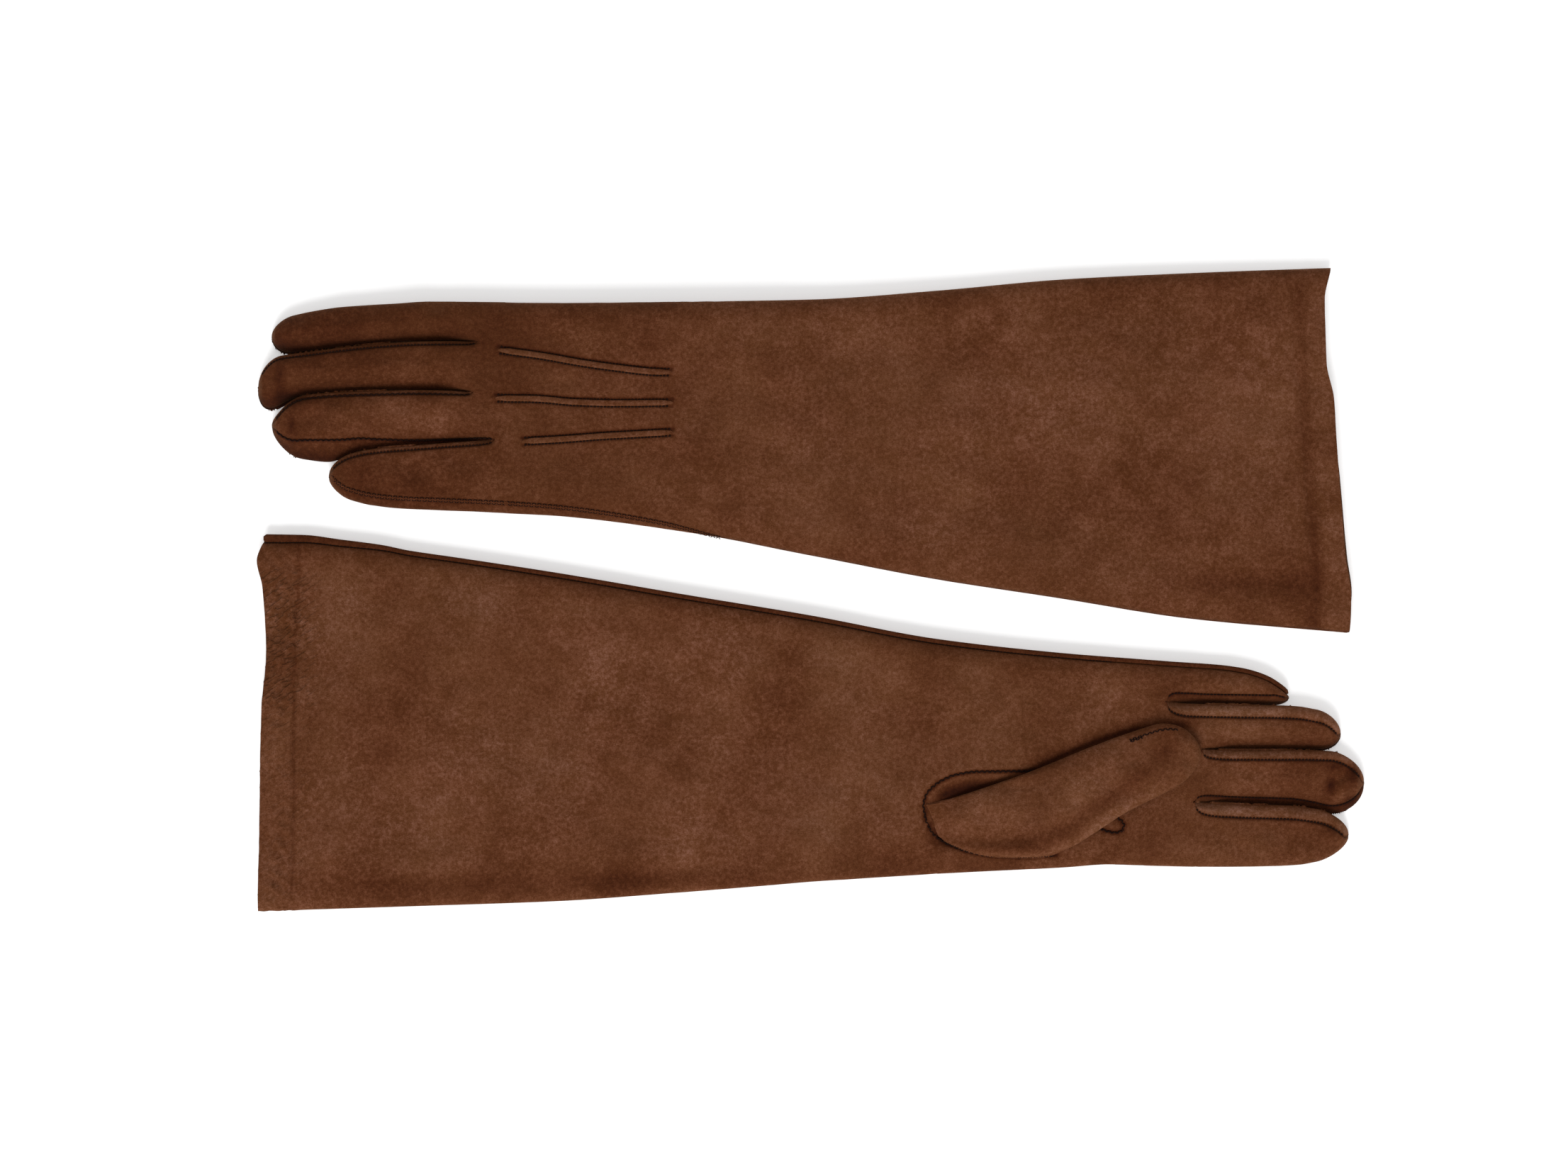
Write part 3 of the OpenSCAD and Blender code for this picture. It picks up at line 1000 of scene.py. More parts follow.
@dataclass
class Finger:
    """One finger: its leather, the strips between its faces, and its stitches."""

    lie: Lie
    plan: FingerPlan

    ROWS = 96
    DENSE = 150
    PARTING = 15.0  # how far past a slit a finger takes on its own shape
    UNDER_SEAM = 1.3  # how far inside its edge a lower seam lies
    # painted light on the fourchettes: the steep one that shows is lighter nap with a painted
    # highlight, the covered one painted darker as shade under its neighbour
    STEEP_TONE, GENTLE_TONE = 1.42, 0.8  # of a fourchette that shows, and of one that's covered

    def stations(self, start: float) -> Array:
        """Places along the finger from start to the tip, crowded at the tip."""
        t = np.linspace(0.0, 1.0, self.ROWS)
        tip = self.plan.tip[0]
        run = tip - start
        head = self.plan.tip_length
        body = np.linspace(start, tip - head, int(self.ROWS * 0.7), endpoint=False)
        angle = np.linspace(0.0, math.pi / 2, self.ROWS - len(body))
        if run <= head:
            return start + run * t
        return np.concatenate([body, tip - head + head * np.sin(angle)])

    def taper(self, x: Array) -> Array:
        """How much of its width the finger keeps at x: 1, falling to 0 at the tip."""
        return snub(x - self.plan.tip[0], self.plan.tip_length)

    def edges(self, x: Array) -> tuple[Array, Array]:
        """The finger's two edges at x."""
        plan = self.plan
        gap_a, gap_b = (
            0.0 if slit is None or self.is_steep(edge)
            else -0.15 * ramp(x, slit - 3.0, slit) - 0.3 * ramp(x, slit + 5.0, slit + 16.0)
            for edge, slit in (("a", plan.slit_a), ("b", plan.slit_b))
        )
        keep = self.taper(x)
        middle = plan.tip[1]
        return (
            lerp(middle, plan.a(x) + gap_a, keep),
            lerp(middle, plan.b(x) - gap_b, keep),
        )

    def shares(self, x: Array, u: Array, under: bool) -> Array:
        """How much a place follows the finger's own shape and not the whole hand's."""
        plan = self.plan
        slit_a, slit_b = (plan.under_a, plan.under_b) if under else (plan.slit_a, plan.slit_b)
        a = slit_a if slit_a is not None else slit_b
        b = slit_b if slit_b is not None else slit_a
        parted_a, parted_b = (ramp(x, slit, slit + self.PARTING) for slit in (a, b))
        return lerp(parted_a, parted_b, 0.5 + 0.5 * u)

    def place(self, x: Array, s: Array) -> Array:
        """Places on the finger's skin.

        Args:
            x: How far along the glove.
            s: How far round: 0 to 1 over the top from a to b, 1 to 2 down the b side, 2 to 3
                back under, 3 to 4 up the a side. It wraps.

        Returns:
            The places, with one more axis of 3.
        """
        x, s = np.broadcast_arrays(np.asarray(x, float), np.mod(np.asarray(s, float), 4.0))
        quarter = np.floor(s)
        t = s - quarter
        over = np.where(quarter == 0, -np.cos(math.pi * t), np.where(quarter == 1, 1.0, -1.0))
        u = np.where(quarter == 2, np.cos(math.pi * t), over)
        ya, yb = self.edges(x)
        y = lerp(ya, yb, 0.5 + 0.5 * u)
        high = self._top(x, y, u, ya, yb)
        low = self._bottom(x, y, u, ya, yb)
        drop = np.choose(quarter.astype(int), [0.0, t, 1.0, 1.0 - t], mode="wrap")
        return np.stack([x, y, lerp(high, low, drop)], axis=-1)

    def _own(self, x: Array) -> tuple[Array, Array, Array]:
        """The finger's own base, middle and crown heights at x."""
        plan, lie = self.plan, self.lie
        keep = snub(x - plan.tip[0], plan.tip_length * 1.5, 2.6)
        base = lie.base(x)
        height = plan.height * lerp(0.42, 1.0, keep ** 0.8)
        middle = base + 0.42 * height
        ends = np.minimum(1.0, self.taper(x) * 1.6)
        return lerp(middle, base, ends), middle, lerp(middle, base + height, ends)

    def is_steep(self, edge: str) -> bool:
        """Whether an edge stands steep; an outer edge is neither, and is rounded alike."""
        return (edge == "b") == (self.lie.steep > 0)

    def edge_heights(self, x: Array) -> tuple[Array, Array]:
        """The heights of the edges: high where steep, low where the next finger covers them."""
        base, middle, crown = self._own(x)
        out = []
        for edge, slit in (("a", self.plan.slit_a), ("b", self.plan.slit_b)):
            share = 0.42 if slit is None else (0.6 if self.is_steep(edge) else 0.1)
            own = base + share * (crown - base)
            out.append(lerp(middle, own, np.minimum(1.0, self.taper(x) * 1.2)))
        return out[0], out[1]

    def _rise(self, edge: str, slit: Optional[float], away: Array, width: Array) -> Array:
        """How far the upper face has risen from an edge: 0 there, 1 on the crown."""
        if slit is None:
            return roundness(away, 0.45 * width)
        if self.is_steep(edge):
            return roundness(away, 0.26 * width)
        t = np.clip(away / (0.58 * width), 0.0, 1.0)
        return lerp(t * t * (3.0 - 2.0 * t), np.sqrt(1.0 - (1.0 - t) ** 2), 0.45)

    def _top(self, x: Array, y: Array, u: Array, ya: Array, yb: Array) -> Array:
        """The height of the upper face."""
        plan, lie = self.plan, self.lie
        _, _, crown = self._own(x)
        edge_a, edge_b = self.edge_heights(x)
        edge = lerp(edge_a, edge_b, ramp(u, -1.0, 1.0))
        width = np.maximum(yb - ya, 1e-6)
        da, db = y - ya, yb - y
        full = self._rise("a", plan.slit_a, da, width) * self._rise("b", plan.slit_b, db, width)
        relief = 0.3 * lie.mid(x * 1.2, y * 1.5 + 30) + 0.07 * lie.small(x, y)
        for crease in plan.creases:
            relief = relief + crease.lift(x, y)
        own = edge + (crown - edge + relief) * full
        share = self.shares(x, u, False)
        z = lerp(lie.top(x, y), own, share)
        for slit, away in ((plan.slit_a, da), (plan.slit_b, db)):
            if slit is not None:
                cut = ramp(x, slit - 1.5, slit + 3.0) * (1.0 - share)
                z = z - 3.4 * cut * bell(away, 1.5)
        return z

    def _bottom(self, x: Array, y: Array, u: Array, ya: Array, yb: Array) -> Array:
        """The height of the lower face."""
        base, _, _ = self._own(x)
        edge_a, edge_b = self.edge_heights(x)
        edge = lerp(edge_a, edge_b, ramp(u, -1.0, 1.0))
        width = np.maximum(yb - ya, 1e-6)
        full = roundness(y - ya, 0.3 * width) * roundness(yb - y, 0.3 * width)
        own = base + (edge - base) * (1.0 - full)
        return lerp(self.lie.bottom(x, y), own, self.shares(x, u, True))

    def seam_share(self, x: Array, inside: Union[float, Trace], slit: Optional[float]) -> Array:
        """How far round from an edge, in s, a seam lies that is so far inside it."""
        ya, yb = self.edges(x)
        width = np.maximum(yb - ya, 1e-6)
        inside = inside(x) if isinstance(inside, Trace) else inside
        grown = inside * np.minimum(1.0, width / 9.0)
        if slit is not None:
            grown = grown * np.sqrt(1.0 - np.exp(-np.maximum(x - slit, 0.0) / 2.4))
        u = np.clip(1.0 - 2.0 * grown / width, -1.0, 1.0)
        return np.arccos(u) / math.pi

    def heart(self, x: Array) -> Array:
        """A place inside the finger for each x."""
        ya, yb = self.edges(x)
        _, middle, _ = self._own(x)
        return np.stack([x, 0.5 * (ya + yb), middle], axis=-1)

    def strip(self, first: Round, last: Round, columns: int, tone: float) -> Panel:
        """A panel of the finger's skin between two lines round it, from JOIN_X to the tip.

        Args:
            first: s of the first edge at each x.
            last: s of the other edge at each x.
            columns: How many places across.
            tone: How light it is.
        """
        x = self.stations(JOIN_X)
        share = np.linspace(0.0, 1.0, self.DENSE)
        s = lerp(first(x)[:, None], last(x)[:, None], share[None, :])
        dense = self.place(x[:, None], s)
        points = even_out(dense, spread(columns, 0.55))
        shade = self.lie.tone(points) * tone
        tip = 1.0 - (1.0 - self.plan.tone) * ramp(points[..., 0], self.plan.hinge, self.plan.tip[0])
        return Panel(points, self.heart(x), shade * tip * self.crease_shade(points), self.room(x))

    def room(self, x: Array) -> Array:
        """How much of the leather's thickness there is room for: all, but for the very tip."""
        ya, yb = self.edges(x)
        return np.clip((yb - ya - 1.0) / 8.0, 0.0, 1.0)

    def crease_shade(self, points: Array) -> Array:
        """Painted shade beside a crease between fingers: how much of its lightness the leather keeps
        there, 1 away from it.
        """
        x, y = points[..., 0], points[..., 1]
        ya, yb = self.edges(x)
        out = np.ones_like(x)
        for edge, slit, away in (("a", self.plan.slit_a, y - ya), ("b", self.plan.slit_b, yb - y)):
            if slit is not None:
                # painted shade: narrow beside a steep edge, broad and darker where the next finger
                # covers the edge
                reach, dark = (0.5, 0.35) if self.is_steep(edge) else (3.4, 0.55)
                out = out * (1.0 - dark * ramp(x, slit - 4.0, slit + 10.0) * bell(away, reach))
        return out

    def fourchette(self, edge: str, first: Round, last: Round, top: float, under: float) -> Panel:
        """The strip that joins the finger's faces, starting in the crotch's slanting web line.

        Args:
            edge: Which side of the finger it is on, a or b.
            first: s of its upper edge at each x.
            last: s of its lower edge at each x.
            top: Where the upper seam starts.
            under: Where the lower seam starts.
        """
        columns = 18
        base = self.stations(min(top, under))
        run = (base - base[0]) / (base[-1] - base[0])
        across = np.linspace(0.0, 1.0, self.DENSE)
        start = lerp(top, under, ramp(across, 0.0, 1.0))
        x = start[None, :] + (self.plan.tip[0] - start[None, :]) * run[:, None]
        s = lerp(first(x), last(x), across[None, :])
        points = even_out(self.place(x, s), spread(columns, 0.3))
        tone = self.STEEP_TONE if self.is_steep(edge) else self.GENTLE_TONE
        shade = self.lie.tone(points) * tone * self.crease_shade(points)
        x = points[:, columns // 2, 0]
        return Panel(points, self.heart(x), shade, self.room(x)).sewn(1, 1, 0.3)

    def build(self) -> FingerParts:
        """Works out the finger's panels and the lines of its seams."""
        plan = self.plan
        parts = FingerParts()
        s_a = lambda x: self.seam_share(x, plan.seam_a, plan.slit_a)
        s_b = lambda x: 1.0 - self.seam_share(x, plan.seam_b, plan.slit_b)
        low_b = lambda x: 2.0 + self.seam_share(x, self.UNDER_SEAM, plan.under_b)
        low_a = lambda x: 3.0 - self.seam_share(x, self.UNDER_SEAM, plan.under_a)
        x = self.stations(JOIN_X)
        top_a, top_b, under_a, under_b = (
            1.0 if slit is None else ramp(x, slit - 0.5, slit + 1.5)
            for slit in (plan.slit_a, plan.slit_b, plan.under_a, plan.under_b)
        )
        if plan.slit_a is None:  # the index: its leather goes round the fold
            strip = self.strip(low_b, lambda x: 4.0 + s_b(x), 64, 1.0)
            parts.leather.append(strip.sewn(under_b, top_b))
        else:
            parts.leather.append(self.strip(s_a, s_b, 34, 1.0).sewn(top_a, top_b))
            last = low_b if plan.slit_b is not None else s_b
            parts.leather.append(self.strip(last, low_a, 26, 0.95).sewn(under_b, under_a))
            parts.fourchettes["a"] = self.fourchette(
                "a", lambda x: 4.0 + s_a(x), low_a, plan.slit_a, plan.under_a
            )
        if plan.slit_b is not None:
            parts.fourchettes["b"] = self.fourchette("b", s_b, low_b, plan.slit_b, plan.under_b)
        for slit, line, inside in (
            (plan.slit_a, s_a, plan.seam_a),
            (plan.slit_b, s_b, plan.seam_b),
        ):
            outer = slit is None and plan.name == "little"
            if (slit is None and not outer) or (not isinstance(inside, Trace) and inside < 0.8):
                continue
            start = JOIN_X - 0.5 if outer else slit + 0.4
            x = np.linspace(start, plan.tip[0] - 1.6, 160)
            parts.seams.append((x, line, outer))
        return parts

    def row(
        self, x: Array, line: Round, kind: StitchKind, beside: float = 0.0, raised: float = 0.0
    ) -> StitchRow:
        """A row of stitches along one of the finger's seams."""
        s = line(x)
        here = self.place(x, s)
        across = unit(self.place(x, s + 0.03) - self.place(x, s - 0.03))
        up = unit(np.cross(np.gradient(here, axis=0), across))
        up *= np.sign((up * (here - self.heart(x))).sum())
        return StitchRow(here + across * beside + up * raised, up, kind)


# ---------------------------------------------------------------- sleeve and hand


@dataclass
class Trank:
    """The sleeve and hand: leather folded at the index side and sewn at the other.

    Attributes:
        lie: How the glove lies.
        inside: How far inside the outer edge the seam lies on the upper face, by x.
    """

    lie: Lie
    inside: Trace

    DENSE = 560

    def stations(self) -> Array:
        """Places along the sleeve, close together at the hem."""
        hem, band = self.lie.hem_x, self.lie.hem_x + 20.0
        return np.concatenate(
            [np.linspace(hem, band, 27, endpoint=False), np.linspace(band, HAND_X, 150)]
        )

    def place(self, x: Array, s: Array) -> Array:
        """Places on the outside of the leather.

        Args:
            x: How far along the glove.
            s: How far round: 0 at the seam, 1 at the fold, 2 at the outer edge below, 3 at the seam.

        Returns:
            The places, with one more axis of 3.
        """
        lie = self.lie
        x, s = np.broadcast_arrays(np.asarray(x, float), np.asarray(s, float))
        fold, edge = lie.fold(x), lie.seam(x)
        line = edge - self.inside(x)
        third = np.clip(np.floor(s), 0, 2)
        t = s - third
        over = lerp(line, fold, lerp(t, np.sin(0.5 * math.pi * t), 0.3))
        under = lerp(fold, edge, lerp(t, 0.5 - 0.5 * np.cos(math.pi * t), 0.35))
        y = np.where(third == 0, over, np.where(third == 1, under, lerp(edge, line, t)))
        z = np.where(third == 1, lie.bottom(x, y), lie.top(x, y))
        return np.stack([x + lie.shift(x, y, np.where(third == 1, 1.0, 0.0)), y, z], axis=-1)

    def heart(self, x: Array) -> Array:
        """A place inside the glove for each x."""
        lie = self.lie
        return np.stack([x, 0.5 * (lie.fold(x) + lie.seam(x)), lie.middle(x)], axis=-1)

    def leather(self, x: Array, columns: int) -> Panel:
        """The leather, all round, at the places x along the glove."""
        dense = self.place(x[:, None], np.linspace(0.0, 3.0, self.DENSE)[None, :])
        points = even_out(dense, spread(columns, 0.2))
        lie = self.lie
        tone = lie.tone(points)
        # painted shade on the lower layer near the hem, under the upper layer's edge
        if lie.peek is not None:
            low = ramp(lie.middle(x)[:, None] - points[..., 2], 0.0, 1.0)
            tone = tone * (1.0 - 0.4 * low * bell(x - lie.hem_x, 2.0)[:, None])
        return Panel(points, self.heart(x), tone).sewn(1, 1, 0.45, 0.8)

    def facing(self) -> Panel:
        """The turned hem: a band inside the mouth."""
        lie = self.lie
        x = np.linspace(lie.hem_x + 0.15, lie.hem_x + lie.HEM_BAND - 0.1, 10)
        s = np.linspace(0.0, 3.0, self.DENSE)
        dense = even_out(self.place(x[:, None], s[None, :]), spread(150, 0.25))
        inset = Panel(dense, self.heart(x), np.full(dense.shape[:2], 0.9)).outward()
        normal = surface_normals(inset.points)
        return Panel(inset.points - normal * (LEATHER + 0.05), inset.heart, inset.tone)

    def seam_frame(self, x: Array) -> tuple[Array, Array, Array]:
        """The seam's places, the way across it and the way out of the leather, at each x."""
        here = self.place(x, np.zeros_like(x))
        across = unit(here - self.place(x, np.full_like(x, 0.02)))
        up = unit(np.cross(np.gradient(here, axis=0), across))
        return here, across, up * np.sign(up[:, 2].sum())


@dataclass
class ThumbOver:
    """The thumb that lies on the palm, growing out of its hole.

    It has its own frame: t runs from the tip, 0, back to the root, below 0, and p is across it,
    towards the little-finger side.

    Attributes:
        lie: How its glove lies.
        tip: Where its tip is.
        lean: The way it points, in radians from the glove's own.
        upper: Its edge on the little-finger side, p at each t.
        lower: Its other edge.
        lift: How far it stands up from the palm at each t.
        rubbed_and_shaded: Patches of worn nap, painted shade along the thumb's trough and upper edge,
            and painted highlights along its lower edge, by t and the share of the way across.
        tip_length: How far back from the tip it starts to round.
    """

    lie: Lie
    tip: tuple[float, float]
    lean: float
    upper: Trace
    lower: Trace
    lift: Trace
    rubbed_and_shaded: Patches
    tip_length: float = 15.0

    REST = 0.25  # how far its lower face stays off the palm

    def spot(self, t: Array, p: Array) -> tuple[Array, Array]:
        """The glove's x and y of a place on the thumb."""
        c, s = math.cos(self.lean), math.sin(self.lean)
        return self.tip[0] + t * c - p * s, self.tip[1] + t * s + p * c

    def edges(self, t: Array) -> tuple[Array, Array]:
        """The thumb's lower and upper edges at t."""
        keep = snub(t, self.tip_length)
        return self.lower(t) * keep, self.upper(t) * keep

    def place(self, t: Array, s: Array) -> Array:
        """Places on the thumb: s, 0 to 1, goes over it from its lower edge; 1 to 2 comes back under."""
        t, s = np.broadcast_arrays(np.asarray(t, float), np.asarray(s, float))
        over = s <= 1.0
        u = np.where(over, -np.cos(math.pi * s), np.cos(math.pi * (s - 1.0)))
        low, high = self.edges(t)
        p = lerp(low, high, 0.5 + 0.5 * u)
        x, y = self.spot(t, p)
        palm = self.lie.top(x, y)
        width = np.maximum(high - low, 1e-6)
        full = self.lift(t) * lerp(0.5, 1.0, snub(t, self.tip_length * 1.5, 2.6))
        held = 1.0 - ramp(t, -70.0, -50.0)
        root = ramp(t, -110.0, -92.0)
        edge_low = lerp(0.36 * full, -0.35, held)
        edge_high = 0.36 * full * root
        edge = lerp(edge_low, edge_high, ramp(u, -1.0, 1.0))
        a = 1.0 - np.clip((p - low) / (lerp(0.55, 0.85, held) * width), 0, 1)
        b = 1.0 - np.clip((high - p) / (0.4 * width), 0, 1)
        crown = np.sqrt(1.0 - a ** lerp(2.0, 1.6, held)) * np.sqrt(1.0 - b**2)
        ends = np.minimum(1.0, np.sqrt(np.clip(-t / self.tip_length, 0, 1)) * 1.3)
        top = edge + (full - edge) * crown * ends
        trough = low + (0.24 + 0.04 * np.sin(t / 14.0)) * width
        cut = bell(p - trough, 2.6) * ramp(t, -98.0, -72.0) * (1.0 - ramp(t, -34.0, -14.0))
        dent = bell(p - low - 0.62 * width, 3.2) * bell(t + 30.0, 16.0)
        top = top - 0.9 * cut * crown - 0.7 * dent * crown
        top = top + crown * (0.35 * self.lie.mid(x + 90.0, y) + 0.08 * self.lie.small(x, y))
        sag = np.maximum(edge - self.REST, 0.0)
        below = edge - sag * np.sqrt(np.clip(1.0 - np.abs(u) ** 6, 0, 1)) * ends
        return np.stack([x, y, palm + np.where(over, top, below)], axis=-1)

    def leather(self) -> Panel:
        """The thumb's leather, all round."""
        root = float(self.lower.x[0])
        body = np.linspace(root, -self.tip_length, 92, endpoint=False)
        t = np.concatenate([body, -self.tip_length * (1 - np.sin(np.linspace(0, math.pi / 2, 26)))])
        dense = self.place(t[:, None], np.linspace(0.0, 2.0, 160)[None, :])
        points = even_out(dense, spread(84, 0.0))
        low, high = self.edges(t)
        x, y = self.spot(t, 0.5 * (low + high))
        heart = np.stack([x, y, self.lie.top(x, y) + 0.4 * self.lift(t)], axis=-1)
        across = (points[..., 1] - points[:, :1, 1]) / np.maximum(high - low, 1.0)[:, None]
        tone = self.lie.plain_tone(points[..., 0], points[..., 1] + 20.0)
        # patches of worn nap, painted shade and painted highlights on the thumb
        tone = tone * (1.0 - self.rubbed_and_shaded(t[:, None], across))
        return Panel(points, heart, tone, np.clip((high - low - 1.0) / 7.0, 0.0, 1.0))

    def row(self, start: float, end: float, share: float, kind: StitchKind) -> StitchRow:
        """A row of stitches along the thumb's upper face."""
        t = np.linspace(start, end, 60)
        here = self.place(t, np.full_like(t, share))
        across = self.place(t, np.full_like(t, share + 0.02)) - here
        up = unit(np.cross(np.gradient(here, axis=0), across))
        return StitchRow(here, up * np.sign(up[:, 2].sum()), kind)


@dataclass
class Glove:
    """One whole glove.

    Attributes:
        trank: Its sleeve and hand.
        tucks: The lines of the three tucks on its back.
        hole: The lines of stitches round its thumb.
        thumb: The thumb on its palm, or None where the glove lies on its thumb.
        bends: The x range given to bend for each finger's leather.
        finishes: The material of each slot.
    """

    trank: Trank
    tucks: Places
    hole: Places
    thumb: Optional[ThumbOver]
    bends: dict[str, tuple[float, float]]
    finishes: dict[Slot, bpy.types.Material]

    STRAIGHT = StitchKind()
    ZIGZAG = StitchKind(pitch=1.05, length=1.4, thread=0.28, slant=0.75, sunk=-0.05)
    DOUBLE = StitchKind(pitch=1.05, length=1.15, thread=0.19, slant=0.7)
    LIP = Trace((-217, 2.9), (-184, 2.1), (-157, 1.4), (200, 1.4))  # how far the right outseam shows
    WELT = (0.85, 0.52, 14)  # the right outseam's half thickness, tone and section
    CORD_WELT = (0.7, 0.3, 0.66, 14)  # the left one's half width, the same
    HIDDEN_ROOT, HIDDEN_TIP = np.array([52.0, -98.5, 1.45]), np.array([151.6, -60.2, 1.45])

    @property
    def side(self) -> Side:
        """Which glove it is."""
        return self.trank.lie.side

    def node(self, *names: str) -> list[str]:
        """The CAD nodes' names on this side."""
        return [f"{self.side.word}_{name}" for name in names]

    def dress(self, piece: bpy.types.Object, slot: Slot, *nodes: str) -> None:
        """Gives a piece its finish, hides the CAD nodes that it stands for, and logs its faces."""
        piece.data.materials.clear()
        piece.data.materials.append(self.finishes[slot])
        if nodes:
            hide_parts(*self.node(*nodes))
        LOG.info("%s: %d faces", piece.name, len(piece.data.polygons))

    def bend(self, piece: bpy.types.Object, a: str, b: str, start: float, end: float) -> None:
        """Bakes a piece's transform into its mesh; nothing makes it bend between the two bodies."""
        sign = self.side.value * MM
        body_a, body_b = self.node(a, b)
        start * sign
        end * sign
        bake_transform(piece)

    def ride(self, piece: bpy.types.Object, body: str) -> None:
        """Lets a piece ride on one of the glove's bodies."""
        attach(piece, self.node(body)[0])

    def crinkle(self, sleeve: bpy.types.Object) -> None:
        """Marks where the sleeve's leather is finely crinkled, beside its hem."""
        places = np.empty(len(sleeve.data.vertices) * 3)
        sleeve.data.vertices.foreach_get("co", places)
        x, y, z = places.reshape(-1, 3).T / MM
        near = ramp(x, -219.0, -214.0) * (1.0 - ramp(x, -206.0, -188.0))
        along = ramp(y, -62.0, -34.0) * (1.0 - ramp(y, 4.0, 12.0))
        along = along + 0.25 * (1.0 - ramp(y, -64.0, -40.0))
        mark = sleeve.data.attributes.new("crinkle", "FLOAT", "POINT")
        mark.data.foreach_set("value", near * along * ramp(z, 1.0, 3.0))

    def make_trank(self) -> None:
        """Makes the sleeve, the hand and the turned hem."""
        side, trank = self.side, self.trank
        panel = trank.leather(trank.stations(), 178)
        sleeve = leather_piece("sleeve", side, [panel], TRANK_LEATHER)
        self.dress(sleeve, Slot.SUEDE, "arm_back", "arm_palm")
        if side is Side.RIGHT:
            self.crinkle(sleeve)
        self.bend(sleeve, "arm", "hand", *WRIST_BEND)
        panel = trank.leather(np.linspace(HAND_X, JOIN_X, 118), 300)
        palm_and_back = leather_piece("hand", side, [panel], TRANK_LEATHER)
        self.dress(palm_and_back, Slot.SUEDE, "hand_back", "hand_palm")
        self.ride(palm_and_back, "hand")
        facing = leather_piece("hem_facing", side, [trank.facing()], FINGER_LEATHER)
        self.dress(facing, Slot.HEM, "hem_facing")
        self.ride(facing, "arm")

    def make_outseam(self) -> None:
        """Makes the seam along the sleeve's and hand's outer edge, and its stitches."""
        side, trank = self.side, self.trank
        x = np.linspace(trank.lie.hem_x, JOIN_X, 300)
        here, across, up = trank.seam_frame(x)
        ends = (0.5, 1.0)
        if side is Side.RIGHT:
            width = self.LIP(x)
            flat, out = (np.tile(way, (len(x), 1)) for way in (ACROSS, UPWARD))
            centre = here + flat * (0.5 * width)[:, None] - out * 0.35
            sizes = (0.5 * width + 0.25, *self.WELT, ends)
            strip = swept_piece("outseam", side, centre, flat, out, *sizes)
            rows = [StitchRow(here - across * OUTER_ROW, up, self.STRAIGHT)]
        else:
            centre = here - up * lerp(0.9, 0.12, ramp(x, 28.0, 52.0))[:, None]
            strip = swept_piece("outseam", side, centre, across, up, *self.CORD_WELT, ends)
            shown, hidden = x > SHOWN_X, x <= SHOWN_X
            rows = [
                StitchRow(
                    here[shown] + across[shown] * beside + up[shown] * DOUBLE_LIFT,
                    up[shown],
                    self.DOUBLE,
                )
                for beside in DOUBLE_ROWS
            ]
            rows.append(StitchRow(here[hidden] - up[hidden], across[hidden], self.STRAIGHT))
        self.dress(strip, Slot.SUEDE, "arm_outseam", "hand_outseam")
        self.bend(strip, "arm", "hand", *WRIST_BEND)
        sewn = stitches_piece("outseam_stitches", side, rows)
        self.dress(sewn, Slot.THREAD, "arm_seam_thread")
        self.bend(sewn, "arm", "hand", *WRIST_BEND)

    def on_face(
        self, places: Sequence[tuple[float, float]], count: int, below: bool
    ) -> tuple[Array, Array]:
        """A smooth line on the glove's upper or lower face.

        Args:
            places: The line's places in x and y.
            count: How many places the finished line has.
            below: Whether it is on the lower face.

        Returns:
            The line and the way out of the leather along it.
        """
        rough = np.array(places, float)
        step = run_along(rough)
        run = np.linspace(0, step[-1], count)
        x, y = (Trace(*zip(step, rough[:, axis]))(run) for axis in (0, 1))
        face = self.trank.lie.bottom if below else self.trank.lie.top
        d = 0.4
        slope_x = (face(x + d, y) - face(x - d, y)) / (2 * d)
        slope_y = (face(x, y + d) - face(x, y - d)) / (2 * d)
        up = unit(np.stack([-slope_x, -slope_y, np.ones_like(x)], axis=-1))
        return np.stack([x, y, face(x, y)], axis=-1), (-up if below else up)

    def make_tucks(self) -> None:
        """Makes the three raised tucks on the back of the hand and their stitches."""
        side, rows, strips = self.side, [], []
        below = side is Side.RIGHT
        for number, line in enumerate(self.tucks):
            path, up = self.on_face(line, 90, below)
            across = np.cross(up, unit(np.gradient(path, axis=0)))
            t = np.linspace(0.0, 1.0, len(path))
            ends = ramp(t, 0.0, 0.07) * (1.0 - ramp(t, 0.93, 1.0))
            sizes = (lerp(0.6, 1.15, ends), lerp(0.12, 0.4 if below else 0.62, ends), 1.0, 18)
            centre = path + up * 0.05
            strips.append(swept_piece(f"tuck_{number}", side, centre, across, up, *sizes))
            for beside in (-1.5, 1.5):
                rows.append(StitchRow(path + across * beside - up * 0.02, up, self.STRAIGHT))
        select_only(strips[0])
        for strip in strips:
            strip.select_set(True)
        bpy.ops.object.join()
        strips[0].name = f"{side.word}_tucks"
        self.dress(strips[0], Slot.SUEDE, "back_tucks")
        self.ride(strips[0], "hand")
        sewn = stitches_piece("tuck_stitches", side, rows)
        self.dress(sewn, Slot.THREAD, "tuck_thread")
        self.ride(sewn, "hand")

